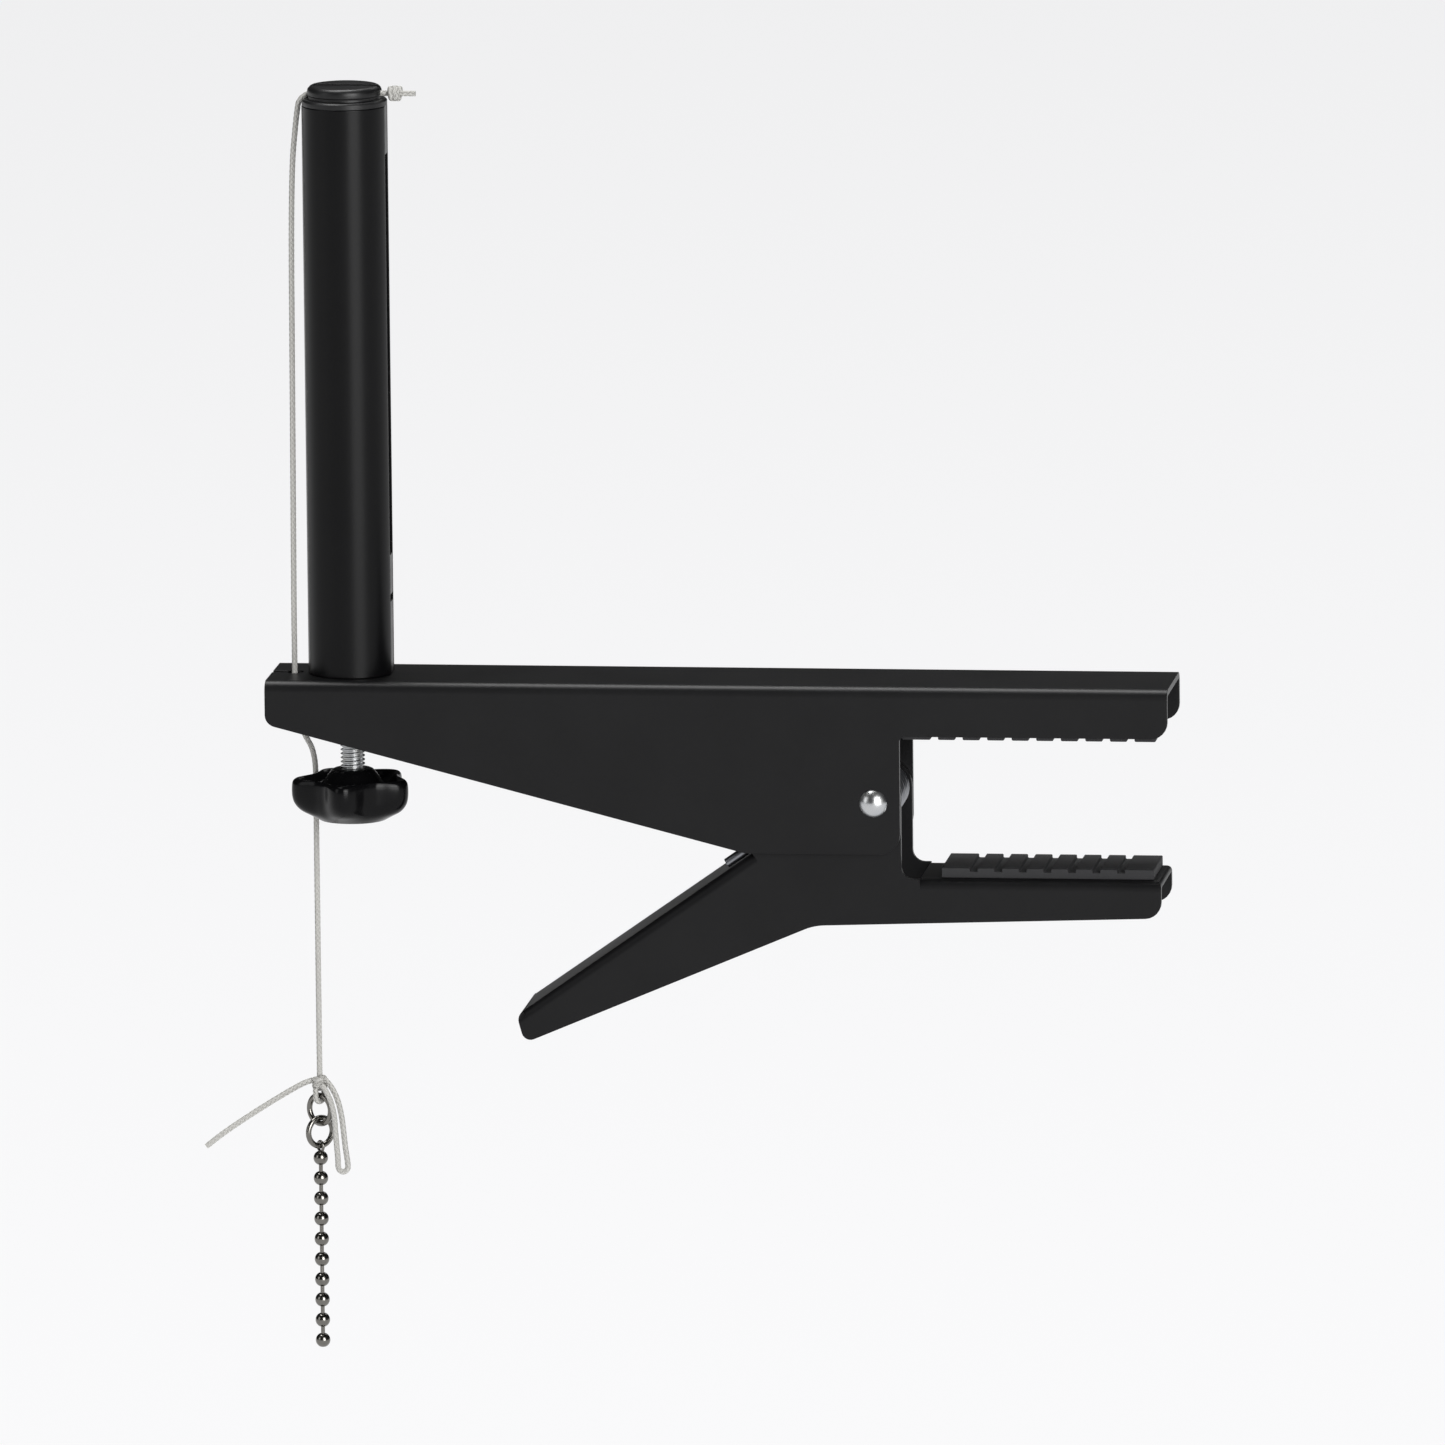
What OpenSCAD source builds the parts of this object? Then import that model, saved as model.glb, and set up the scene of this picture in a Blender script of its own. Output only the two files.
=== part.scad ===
// Spring-clip net clamp with a height-adjustable net post, for a table tennis table.
// X runs in over the table from its edge, Y runs along the edge, and Z is height above the table's top.

/* [Bracket] */
// Reach of the bracket out past the table's edge
arm_reach = 157; // [152:1:190]
// Reach of the upper jaw in over the table
jaw_reach = 64; // [52:1:80]
// Outside width of the bracket's channel
channel_w = 30; // [28:1:37]
// Thickness of the sheet steel
sheet_t = 1.6; // [1.3:0.1:2]
// Outside radius of the long folds
fold_r = 2.6; // [2.2:0.1:3.2]
// Height of the bracket's top above the table
web_h = 13; // [12:0.5:16]
// Depth of the bracket's sides at the outer end
tip_depth = 10.6; // [8:0.1:12]
// Depth of the bracket's sides below the table's top
throat_depth = 28.2; // [26:0.2:34]
// Distance from the table's edge to the sides' lowest corner
heel_out = 39.5; // [34:0.5:44]
// Gap between the table's edge and the clamp's throat
throat_gap = 1.5; // [1:0.5:2.5]

/* [Lever] */
// Thickness of table that the jaws hold at rest
grip_h = 32; // [28:1:38]
// Distance of the pivot from the table's edge
pivot_out = 8; // [8:0.5:10]
// Drop of the pivot below the table's top
pivot_drop = 15.6; // [14:0.2:17]
// Diameter of the pivot pin
pin_d = 5; // [4:0.5:6]
// Slope of the handle below level, in degrees
handle_slope = 34.8; // [30:0.2:38]
// Length of the handle from the pivot to its tip
handle_len = 103; // [86:1:124]
// Depth of the handle at its tip
handle_tip = 6.9; // [6:0.1:9]
// Depth of the lower jaw at its inner end
jaw_depth = 9; // [7:0.5:12]
// Free play on each side between the lever and the bracket
side_play = 0.4; // [0.3:0.05:0.6]

/* [Spring] */
// Wire diameter of the torsion spring
wire_d = 2.4; // [1.8:0.1:2.6]
// Mean radius of the spring's coil
coil_r = 5; // [4.6:0.1:5.2]
// Whole turns in the coil
coil_turns = 6; // [4:1:6]
// Gap between the coil's turns
coil_gap = 0.5; // [0.45:0.05:0.6]

/* [Pads] */
// How far the upper pad stands below the bracket's sides
pad_proud = 1; // [0.6:0.1:1.5]
// Thickness of the lower pad
lower_pad_t = 2.5; // [2:0.1:3.5]
// Distance from groove to groove in both pads
rib_pitch = 6; // [5:0.5:8]
// Depth of the grooves
rib_depth = 0.9; // [0.5:0.1:1.2]

/* [Post] */
// Distance of the post's axis from the bracket's outer end
post_inset = 19.5; // [17:0.5:30]
// Outside diameter of the post
post_d = 21; // [20:0.1:25.5]
// Wall of the post's profile
post_wall = 1.8; // [1.5:0.1:2.2]
// Width of the slot that the net runs out of
slot_w = 5; // [4.5:0.1:6]
// Length of the post's profile
post_len = 140; // [116:1:170]
// Height of the cap above the profile
cap_h = 4.8; // [4.6:0.1:7]

/* [Height adjuster] */
// Thread diameter of the adjusting screw
screw_d = 6; // [5:0.5:6.5]
// Pitch of the screw's thread
screw_pitch = 1; // [0.8:0.05:1]
// Turns of the knob from lowest to highest
lift_turns = 8; // [4:1:8]
// Height of the guide that stands inside the post
guide_h = 18; // [16:1:24]
// Diameter over the knob's lobes
knob_d = 30; // [25:0.5:30]
// Drop of the knob's lobes below the table's top
knob_drop = 12.8; // [12.8:0.1:20]

/* [Cord and chain] */
// Diameter of the net cord
cord_d = 1.4; // [1.2:0.1:1.6]
// Diameter of the chain's beads
bead_d = 3.6; // [3.2:0.1:4]
// Distance from bead to bead
bead_pitch = 5.05; // [4.8:0.05:5.5]
// Number of beads
bead_count = 10; // [6:1:14]

/* [Hidden] */
$fn = 64;

// Clearances
run_gap = 0.05;      // a pin or screw turning in its hole
loose_gap = 0.3;     // pieces that pass each other
seat_gap = 0.02;     // a face that bears on another body
bolt_gap = 0.4;      // a screw through a clearance hole
over = 1;            // how far a cut runs past a face

// Sizes that follow
lever_w = channel_w - 2 * sheet_t - 2 * side_play;
lever_in = lever_w / 2 - sheet_t;
side_in = channel_w / 2 - sheet_t;
pivot = [-pivot_out, 0, -pivot_drop];
boss_r = pivot_out - throat_gap;
web_start = 32;                          // where the handle's top begins, along the handle from the pivot
jaw_top = -grip_h - lower_pad_t;
jaw_end = jaw_reach - 2;
jaw_web_start = 3;
post_out = arm_reach - post_inset;
post_x = -post_out;
post_in_r = post_d / 2 - post_wall;
tube_top = web_h + post_len;
lift = lift_turns * screw_pitch;
journal_d = screw_d - 1.2;               // the screw's plain top end
nut_af = 1.67 * screw_d;                 // across the nut's flats
nut_h = 0.83 * screw_d;
key_w = slot_w - 2 * loose_gap;
shoulder_z = web_h + guide_h + 0.7;      // top of the thread
washer_t = 0.8;
plug_h = 10;
plug_z = shoulder_z + washer_t + seat_gap;
clip_z = plug_z + plug_h + seat_gap;
knob_z = -knob_drop;
head_h = 4;                              // the screw's hexagon head
head_z = knob_z - 8.8;
coil_pitch = wire_d + coil_gap;
knob_r = knob_d / 2;
eye_out = post_d / 2 + 3.5;              // the cord's eye in the bracket, out from the post's axis
hang_turn = 131.5;                       // where the cord hangs past the knob, as an angle about the post
hang_r = knob_r + 1.4;

// The handle's own directions: s runs out along it from the pivot, h stands square on its top
function on_handle(s, h) = [
    -pivot_out - s * cos(handle_slope) - h * sin(handle_slope),
    -pivot_drop - s * sin(handle_slope) + h * cos(handle_slope)
];

// ---------- outlines ----------

function arc(c, r, from, to, steps = 8) =
    [for (i = [0:steps]) let (a = from + (to - from) * i / steps) [c[0] + r * cos(a), c[1] + r * sin(a)]];

function unit(v) = v / norm(v);

// The arc that rounds corner b between a and c
function corner(a, b, c, r, steps = 6) =
    let (
        u = unit(a - b),
        v = unit(c - b),
        half = acos(u * v) / 2,
        mid = b + unit(u + v) * r / sin(half),
        p = b + u * r / tan(half) - mid,
        q = b + v * r / tan(half) - mid,
        from = atan2(p[1], p[0]),
        turn = atan2(p[0] * q[1] - p[1] * q[0], p * q)
    )
    arc(mid, r, from, from + turn, steps);

// An outline from corners [x, y, radius], with radius 0 left sharp
function rounded(pts) =
    [for (i = [0:len(pts) - 1])
        let (
            n = len(pts),
            a = pts[(i + n - 1) % n],
            b = pts[i],
            c = pts[(i + 1) % n]
        )
        each b[2] > 0 ? corner([a[0], a[1]], [b[0], b[1]], [c[0], c[1]], b[2]) : [[b[0], b[1]]]];

// The folded top of a channel: the web with the two folds beside it, seen along the channel
function fold_section(w) =
    let (o = w / 2 - fold_r, i = fold_r - sheet_t)
    concat(
        arc([o, -fold_r], fold_r, 0, 90, 6),
        arc([-o, -fold_r], fold_r, 90, 180, 6),
        arc([-o, -fold_r], i, 180, 90, 6),
        arc([o, -fold_r], i, 90, 0, 6)
    );

// A plate with its outline in X and Z, from y0 to y0 + t
module plate(outline, y0, t) {
    translate([0, y0 + t, 0])
        rotate([90, 0, 0])
            linear_extrude(t)
                polygon(outline);
}

// The two sides of a channel
module sides(outline, w) {
    plate(outline, -w / 2, sheet_t);
    plate(outline, w / 2 - sheet_t, sheet_t);
}

// The folded top, from x0 to x1, with its top face at z
module fold_top(w, x0, x1, z) {
    translate([x0, 0, z])
        rotate([90, 0, 90])
            linear_extrude(x1 - x0)
                polygon(fold_section(w));
}

module at_pivot() {
    translate(pivot)
        children();
}

// Out along the handle from the pivot, with Z square on the handle's top
module along_handle() {
    at_pivot()
        rotate([0, -handle_slope, 0])
            rotate([0, 0, 180])
                children();
}

module at_post(z = 0) {
    translate([post_x, 0, z])
        children();
}

// A bar along Y, centred
module cross_bar(r, length) {
    rotate([90, 0, 0])
        cylinder(r = r, h = length, center = true);
}

// ---------- bracket ----------

eye_r = 2.2;
eye_slot_w = 2.2;
guide_screw_d = 2.4;
guide_r = post_in_r - 0.35;
guide_screw_y = (nut_af / 2 + guide_r) / 2;

bracket_side = rounded([
    [jaw_reach, web_h - fold_r, 0],
    [-arm_reach, web_h - fold_r, 0],
    [-arm_reach, web_h - tip_depth, 3],
    [-heel_out, -throat_depth, 8],
    [-throat_gap, -throat_depth, 5],
    [-throat_gap, pad_proud, 1.5],
    [jaw_reach, pad_proud, 4]
]);

module bracket() {
    color("#1d1d20")
        difference() {
            union() {
                fold_top(channel_w, -arm_reach, jaw_reach, web_h);
                sides(bracket_side, channel_w);
            }
            at_pivot()
                cross_bar(pin_d / 2 + run_gap, channel_w + 2 * over);
            at_post(web_h - sheet_t - over) {
                cylinder(d = screw_d + 2 * bolt_gap, h = sheet_t + 2 * over);
                for (y = [-guide_screw_y, guide_screw_y])
                    translate([0, y, 0])
                        cylinder(d = guide_screw_d + bolt_gap, h = sheet_t + 2 * over);
                translate([-eye_out, 0, 0])
                    cylinder(r = eye_r, h = sheet_t + 2 * over);
            }
            translate([-arm_reach - over, -eye_slot_w / 2, web_h - sheet_t - over])
                cube([arm_reach - post_out - eye_out + over, eye_slot_w, sheet_t + 2 * over]);
        }
}

// ---------- pads ----------

upper_pad_from = -1;
upper_pad_to = jaw_reach - 3;
lower_pad_from = 8;
lower_pad_to = jaw_end - 2;
pad_land = 7;         // plain stretch before the first groove
groove_w = 1.8;
peg_d = 4;
peg_head_d = 6.4;
peg_head_t = 1.4;

// Grooves across a pad, cut from the face at z, towards dir
module grooves(from, to, w, z, dir) {
    count = floor((to - from - pad_land) / rib_pitch);
    for (i = [0:count - 1])
        translate([from + pad_land + i * rib_pitch, -w / 2 - over, dir > 0 ? z - over : z - rib_depth])
            cube([groove_w, w + 2 * over, rib_depth + over]);
}

module upper_pad() {
    w = 2 * side_in - 0.1;
    color("#26262a")
        difference() {
            translate([upper_pad_from, -w / 2, 0])
                cube([upper_pad_to - upper_pad_from, w, web_h - sheet_t]);
            // the folds' inner corners
            for (s = [-1, 1])
                translate([(upper_pad_from + upper_pad_to) / 2, s * w / 2, web_h - sheet_t])
                    rotate([45, 0, 0])
                        cube([upper_pad_to - upper_pad_from + 2 * over, 1.6, 1.6], center = true);
            grooves(upper_pad_from, upper_pad_to, w, 0, 1);
        }
}

peg_x = [lower_pad_from + 10, lower_pad_to - 10];

module lower_pad() {
    w = lever_w - 2 * fold_r;
    color("#26262a") {
        difference() {
            translate([lower_pad_from, -w / 2, jaw_top])
                cube([lower_pad_to - lower_pad_from, w, lower_pad_t]);
            grooves(lower_pad_from, lower_pad_to, w, -grip_h, -1);
        }
        for (x = peg_x)
            translate([x, 0, jaw_top - sheet_t]) {
                translate([0, 0, -0.1])
                    cylinder(d = peg_d, h = sheet_t + 0.6);
                translate([0, 0, -peg_head_t])
                    cylinder(d1 = peg_d, d2 = peg_head_d, h = peg_head_t);
            }
    }
}

// ---------- pivot ----------

pin_head_r = 3.4;
pin_head_t = 1.7;
pivot_washer_t = 0.8;
clip_t = 0.8;
pin_end = channel_w / 2 + pivot_washer_t + clip_t + 1.6;
groove_r = pin_d / 2 - 0.5;
clip_y = channel_w / 2 + pivot_washer_t + 2 * seat_gap;

module pivot_pin() {
    color("#c9ccd0")
        at_pivot()
            rotate([-90, 0, 0])
                rotate_extrude()
                    polygon(concat(
                        [[0, -channel_w / 2 - pin_head_t]],
                        arc([0, -channel_w / 2 + 2.55], 4.25, -82, -37, 5),
                        [
                            [pin_head_r, -channel_w / 2],
                            [pin_d / 2, -channel_w / 2],
                            [pin_d / 2, clip_y],
                            [groove_r, clip_y],
                            [groove_r, clip_y + clip_t + 0.1],
                            [pin_d / 2, clip_y + clip_t + 0.1],
                            [pin_d / 2, pin_end - 0.6],
                            [pin_d / 2 - 0.6, pin_end],
                            [0, pin_end]
                        ]
                    ));
}

sleeve_len = 2 * lever_in - 2 * loose_gap;

module pivot_sleeve() {
    color("#d8d4c8")
        at_pivot()
            difference() {
                cross_bar(coil_r - wire_d / 2 - 0.4, sleeve_len);
                cross_bar(pin_d / 2 + run_gap, sleeve_len + 2 * over);
            }
}

module pivot_washer() {
    color("#c9ccd0")
        at_pivot()
            translate([0, channel_w / 2 + seat_gap + pivot_washer_t / 2, 0])
                difference() {
                    cross_bar(pin_d / 2 + 2, pivot_washer_t);
                    cross_bar(pin_d / 2 + run_gap, pivot_washer_t + 2 * over);
                }
}

// A retaining clip that snaps into a groove, lying flat at z = 0
module snap_clip(groove, shaft) {
    linear_extrude(clip_t)
        difference() {
            circle(r = shaft + 2);
            circle(r = groove);
            translate([0, -groove * 0.8])
                square([shaft + 4, groove * 1.6]);
        }
}

module pivot_clip() {
    color("#9a9da2")
        at_pivot()
            translate([0, clip_y + 0.05, 0])
                rotate([-90, 0, 0])
                    rotate([0, 0, 90])
                        snap_clip(groove_r, pin_d / 2);
}

// ---------- torsion spring ----------

wire_r = wire_d / 2;
leg_touch = 8;                            // length of each leg that lies on the sheet
lower_bend = web_start - 0.8;             // the lower leg's bend, just before the handle's top begins
lower_leg = on_handle(lower_bend, boss_r + wire_r + seat_gap);
lower_leg_end = on_handle(lower_bend + leg_touch, boss_r + wire_r + seat_gap);
upper_leg = [-pivot_out - 30, web_h - sheet_t - wire_r - seat_gap];
upper_leg_end = upper_leg - [leg_touch, 0];
pivot_xz = [-pivot_out, -pivot_drop];

// Where a straight leg from p meets the coil, as an angle; side is -1 above the coil and 1 below it
function touch_angle(p, side) =
    let (v = p - pivot_xz, turn = atan2(v[1], v[0]))
    (turn < 0 ? turn + 360 : turn) + side * acos(coil_r / norm(v));

coil_from = touch_angle(upper_leg, -1);
coil_to = touch_angle(lower_leg, 1) - 360;
coil_sweep = coil_from - coil_to + 360 * coil_turns;
coil_len = coil_pitch * coil_sweep / 360;
coil_steps = ceil(8 * coil_sweep / 360);

coil_points = [for (i = [0:coil_steps])
    let (a = coil_from - coil_sweep * i / coil_steps)
    [
        pivot[0] + coil_r * cos(a),
        coil_len * (0.5 - i / coil_steps),
        pivot[2] + coil_r * sin(a)
    ]];

spring_route = concat(
    [[upper_leg_end[0], coil_len / 2, upper_leg_end[1]], [upper_leg[0], coil_len / 2, upper_leg[1]]],
    coil_points,
    [[lower_leg[0], -coil_len / 2, lower_leg[1]], [lower_leg_end[0], -coil_len / 2, lower_leg_end[1]]]
);

// The least distance between two turns, less the wire, measured on the points a half turn or more apart
spring_gap = min([for (i = [0:coil_steps - 5])
    for (j = [i + 5:coil_steps]) norm(coil_points[i] - coil_points[j])]) - wire_d;
echo(spring_gap = spring_gap);

// ---------- tubes swept along a route ----------

function tangent(p, i) = unit(p[min(i + 1, len(p) - 1)] - p[max(i - 1, 0)]);

function square_to(v, t) = unit(v - t * (v * t));

// A direction square to the route at each point, carried along it without twist
function carried(p) =
    [for (
        i = 0, n = square_to(abs(tangent(p, 0)[2]) < 0.9 ? [0, 0, 1] : [1, 0, 0], tangent(p, 0));
        i < len(p);
        i = i + 1, n = i < len(p) ? square_to(n, tangent(p, i)) : n
    ) n];

module swept_tube(p, r, count) {
    normals = carried(p);
    ring_points = [for (i = [0:len(p) - 1])
        let (n = normals[i], b = cross(tangent(p, i), n))
        for (k = [0:count - 1]) p[i] + r * (cos(360 * k / count) * n + sin(360 * k / count) * b)];
    last = (len(p) - 1) * count;
    side_faces = [for (i = [0:len(p) - 2])
        for (k = [0:count - 1])
            let (a = i * count + k, b = i * count + (k + 1) % count)
            each [[a, b, b + count], [a, b + count, a + count]]];
    end_faces = [for (k = [1:count - 2])
        each [[0, k + 1, k], [last, last + k, last + k + 1]]];
    polyhedron(points = ring_points, faces = [for (f = concat(side_faces, end_faces)) [f[2], f[1], f[0]]]);
}

// Points on a smooth curve through the route's points
function smooth(p, steps) =
    concat(
        [for (i = [0:len(p) - 2])
            let (
                a = p[max(i - 1, 0)],
                b = p[i],
                c = p[i + 1],
                d = p[min(i + 2, len(p) - 1)]
            )
            for (k = [0:steps - 1])
                let (t = k / steps)
                0.5 * (2 * b + (c - a) * t + (2 * a - 5 * b + 4 * c - d) * t * t
                    + (3 * b - a - 3 * c + d) * t * t * t)],
        [p[len(p) - 1]]
    );

module torsion_spring() {
    color("#8d9096")
        swept_tube(spring_route, wire_r, 6);
}

// ---------- lever ----------

tip_top = on_handle(handle_len, boss_r);
tip_bottom = on_handle(handle_len + 2.4, boss_r - handle_tip);
lever_belly = [-pivot_out - 15, jaw_top - 11.7];

lever_side = concat(
    rounded([
        [tip_top[0], tip_top[1], 2.6],
        [tip_bottom[0], tip_bottom[1], 2.2],
        [lever_belly[0], lever_belly[1], 14],
        [jaw_end, jaw_top - jaw_depth, 4],
        [jaw_end, jaw_top, 1.5],
        [-throat_gap, jaw_top, 3],
        [-throat_gap, -pivot_drop - 4, 0]
    ]),
    arc([-pivot_out, -pivot_drop], boss_r, 0, 90 + handle_slope, 12)
);

module lever() {
    color("#1d1d20")
        difference() {
            union() {
                intersection() {
                    plate(lever_side, -lever_w / 2, lever_w);
                    union() {
                        along_handle() {
                            fold_top(lever_w, web_start, handle_len + 4, boss_r);
                            // the tip is folded down and closes the handle's end
                            translate([handle_len - sheet_t, -lever_w / 2 + 0.1, -20])
                                cube([8, lever_w - 0.2, 20 + boss_r - 0.1]);
                        }
                        fold_top(lever_w, jaw_web_start, jaw_end, jaw_top);
                    }
                }
                difference() {
                    sides(lever_side, lever_w);
                    along_handle()
                        translate([web_start, -lever_w / 2 - over, boss_r - fold_r])
                            cube([handle_len, lever_w + 2 * over, fold_r + over]);
                    translate([jaw_web_start, -lever_w / 2 - over, jaw_top - fold_r])
                        cube([jaw_end, lever_w + 2 * over, fold_r + over]);
                }
            }
            at_pivot()
                cross_bar(pin_d / 2 + run_gap, lever_w + 2 * over);
            for (x = peg_x)
                translate([x, 0, jaw_top - sheet_t - over])
                    cylinder(d = peg_d + 2 * run_gap, h = sheet_t + 2 * over);
        }
}

// ---------- height adjuster, fixed pieces ----------

pilot_depth = 9;

// A rib that fills the post's slot
module key(r_out, h) {
    translate([0, -key_w / 2, 0])
        cube([r_out, key_w, h]);
}

module post_guide() {
    color("#3a3a3e")
        at_post(web_h)
            difference() {
                union() {
                    cylinder(r = guide_r, h = guide_h);
                    key(post_d / 2 - 0.4, guide_h);
                }
                translate([0, 0, -over])
                    cylinder(d = screw_d + 0.6, h = guide_h + 2 * over);
                translate([0, 0, -over])
                    cylinder(d = (nut_af + 0.1) / cos(30), h = nut_h + 0.2 + over, $fn = 6);
                for (y = [-guide_screw_y, guide_screw_y])
                    translate([0, y, -over])
                        cylinder(d = guide_screw_d + 2 * run_gap, h = pilot_depth + over);
            }
}

module guide_screws() {
    color("#b9bcc1")
        for (y = [-guide_screw_y, guide_screw_y])
            at_post(web_h - sheet_t)
                translate([0, y, 0]) {
                    cylinder(d = guide_screw_d, h = sheet_t + pilot_depth - 1);
                    translate([0, 0, -1.7])
                        difference() {
                            cylinder(d1 = 3.6, d2 = 4.8, h = 1.7);
                            for (turn = [0, 90])
                                rotate([0, 0, turn])
                                    translate([-1.3, -0.3, -over])
                                        cube([2.6, 0.6, over + 0.8]);
                        }
                }
}

module hex_nut() {
    color("#c9ccd0")
        at_post(web_h)
            difference() {
                cylinder(d = nut_af / cos(30), h = nut_h, $fn = 6);
                translate([0, 0, -over])
                    cylinder(d = screw_d + 2 * run_gap, h = nut_h + 2 * over);
            }
}

// ---------- post ----------

module post_tube() {
    color("#0d0d0f")
        at_post(web_h)
            linear_extrude(post_len)
                difference() {
                    circle(d = post_d);
                    circle(r = post_in_r);
                    translate([0, -slot_w / 2])
                        square([post_d, slot_w]);
                }
}

cap_stem = 12;
cap_head_r = post_d / 2 - 1.4;
stem_r = post_in_r - seat_gap;            // pushed into the profile, as the thrust plug is
cord_rest_r = 3.4;                        // the cap's round edge that the cord bends over
cord_gap = 0.1;
groove_floor = 2;                         // height of the cord's groove above the profile
rest_x = -post_d / 2 + cord_rest_r - 0.3;
rest_z = groove_floor - cord_rest_r;

module post_cap() {
    head = cap_head_r;
    color("#17171a")
        at_post(tube_top)
            difference() {
                union() {
                    rotate_extrude()
                        polygon(concat(
                            [
                                [0, -cap_stem],
                                [stem_r - 0.6, -cap_stem],
                                [stem_r, -cap_stem + 1],
                                [stem_r, 0],
                                [post_d / 2 - 0.1, 0],
                                [post_d / 2 - 0.1, 1.1],
                                [post_d / 2 - 0.5, 1.5],
                                [head - 0.2, 1.7],
                                [head - 0.2, 2.3],
                                [head, 2.6]
                            ],
                            arc([head - 1.4, cap_h - 1.4], 1.4, 0, 90, 5),
                            [[0, cap_h]]
                        ));
                    translate([0, 0, -cap_stem])
                        key(post_d / 2 - 0.4, cap_stem);
                }
                // the cord's groove over the top and round the outer edge
                rotate([90, 0, 0])
                    linear_extrude(cord_d + 0.8, center = true)
                        polygon(concat(
                            [[post_d, cap_h + over], [-post_d, cap_h + over], [-post_d, rest_z]],
                            arc([rest_x, rest_z], cord_rest_r, 180, 90, 8),
                            [[post_d, groove_floor]]
                        ));
            }
}

module thrust_plug() {
    color("#2c2c30")
        at_post(plug_z)
            difference() {
                union() {
                    cylinder(r = stem_r, h = plug_h);
                    key(post_d / 2 - 0.4, plug_h);
                }
                translate([0, 0, -over])
                    cylinder(d = journal_d + 2 * run_gap, h = plug_h + 2 * over);
            }
}

module thrust_washer() {
    color("#c8a24a")
        at_post(shoulder_z + seat_gap)
            difference() {
                cylinder(d = screw_d + 5, h = washer_t);
                translate([0, 0, -over])
                    cylinder(d = journal_d + 2 * run_gap, h = washer_t + 2 * over);
            }
}

// ---------- height adjuster, turning pieces ----------

journal_top = clip_z + clip_t + 1.4;
clip_groove_r = journal_d / 2 - 0.5;

module adjusting_screw() {
    color("#c9ccd0")
        at_post()
            union() {
                translate([0, 0, head_z])
                    cylinder(d = nut_af / cos(30), h = head_h, $fn = 6);
                rotate_extrude()
                    polygon([
                        [0, head_z + head_h - 0.5],
                        [screw_d / 2, head_z + head_h - 0.5],
                        [screw_d / 2, shoulder_z - 0.5],
                        [screw_d / 2 - 0.5, shoulder_z],
                        [journal_d / 2, shoulder_z],
                        [journal_d / 2, clip_z],
                        [clip_groove_r, clip_z],
                        [clip_groove_r, clip_z + clip_t + 0.1],
                        [journal_d / 2, clip_z + clip_t + 0.1],
                        [journal_d / 2, journal_top - 0.6],
                        [journal_d / 2 - 0.6, journal_top],
                        [0, journal_top]
                    ]);
            }
}

module screw_clip() {
    color("#9a9da2")
        at_post(clip_z + 0.05)
            snap_clip(clip_groove_r, journal_d / 2);
}

lobes = 5;
lobe_turn = 194;
cover_r = 7;
cover_z = knob_z - 10.4;                  // the knob's lower edge round the cover

// The knob from its lower edge out to the lobes and in to the boss:
// radius, height above the lobes' top, and how deep the gaps between the lobes are
knob_profile = [
    [cover_r + 1.2, -10.4, 0],
    [0.7 * knob_r, -9.2, 0.06],
    [0.86 * knob_r, -7.9, 0.16],
    [0.96 * knob_r, -6.2, 0.22],
    [knob_r, -4.2, 0.25],
    [knob_r, -1.5, 0.25],
    [0.97 * knob_r, -0.4, 0.24],
    [0.91 * knob_r, 0, 0.21],
    [0.84 * knob_r, -0.5, 0.17],
    [0.74 * knob_r, -1.8, 0.1],
    [0.63 * knob_r, -2.4, 0.04],
    [0.51 * knob_r, -1.4, 0],
    [0.43 * knob_r, 0.1, 0],
    [0.37 * knob_r, 1.3, 0],
    [0.33 * knob_r, 1.9, 0],
    [0.3 * knob_r, 2.1, 0]
];
knob_sides = 48;

function lobe_radius(r, gap, a) = r * (1 - gap * (1 - pow((1 + cos(lobes * a)) / 2, 1.4)));

module knob_body() {
    rows = len(knob_profile);
    points = [for (row = knob_profile)
        for (k = [0:knob_sides - 1])
            let (a = 360 * k / knob_sides, r = lobe_radius(row[0], row[2], a))
            [r * cos(a), r * sin(a), row[1]]];
    skin = [for (i = [0:rows - 2])
        for (k = [0:knob_sides - 1])
            let (a = i * knob_sides + k, b = i * knob_sides + (k + 1) % knob_sides)
            each [[a, b + knob_sides, b], [a, a + knob_sides, b + knob_sides]]];
    foot = [for (k = [0:knob_sides - 1]) k];
    crown = [for (k = [knob_sides - 1:-1:0]) (rows - 1) * knob_sides + k];
    polyhedron(points = points, faces = concat(skin, [foot], [crown]));
}

module knob() {
    color("#141416")
        at_post(knob_z)
            difference() {
                rotate([0, 0, lobe_turn])
                    knob_body();
                translate([0, 0, -12])
                    cylinder(d = screw_d + 2 * run_gap, h = 20 + over);
                translate([0, 0, -12])
                    cylinder(d = (nut_af + 0.1) / cos(30), h = 12 + head_z + head_h - knob_z, $fn = 6);
                translate([0, 0, -12])
                    cylinder(r = cover_r, h = 2.8);
            }
}

module knob_cover() {
    r = cover_r - run_gap;
    dome_r = 28;
    color("#141416")
        at_post(cover_z)
            rotate_extrude()
                polygon(concat(
                    [[0, 1.1], [0, -1]],
                    arc([0, dome_r - 1], dome_r, -88, -90 + asin(r / dome_r), 5),
                    [[r, 1.1]]
                ));
}

// ---------- cord, knots and chain ----------

cord_r = cord_d / 2;
wrap_r = cord_r + 0.55;                   // a knot's wraps, measured to the cord's middle
knot_r = wrap_r + cord_r;
knot_step = 1.3;
knot_half = knot_step + cord_r;           // half the length of a knot of three wraps

stopper_x = post_d / 2 - 0.05;           // the stopper knot's end that bears on the cap

// Points over the cap, measured from the post's axis and the profile's top
cord_over_cap = [[stopper_x, 0, 2.8], [5, 0, 2.8], [-2, 0, 2.8]];
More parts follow.
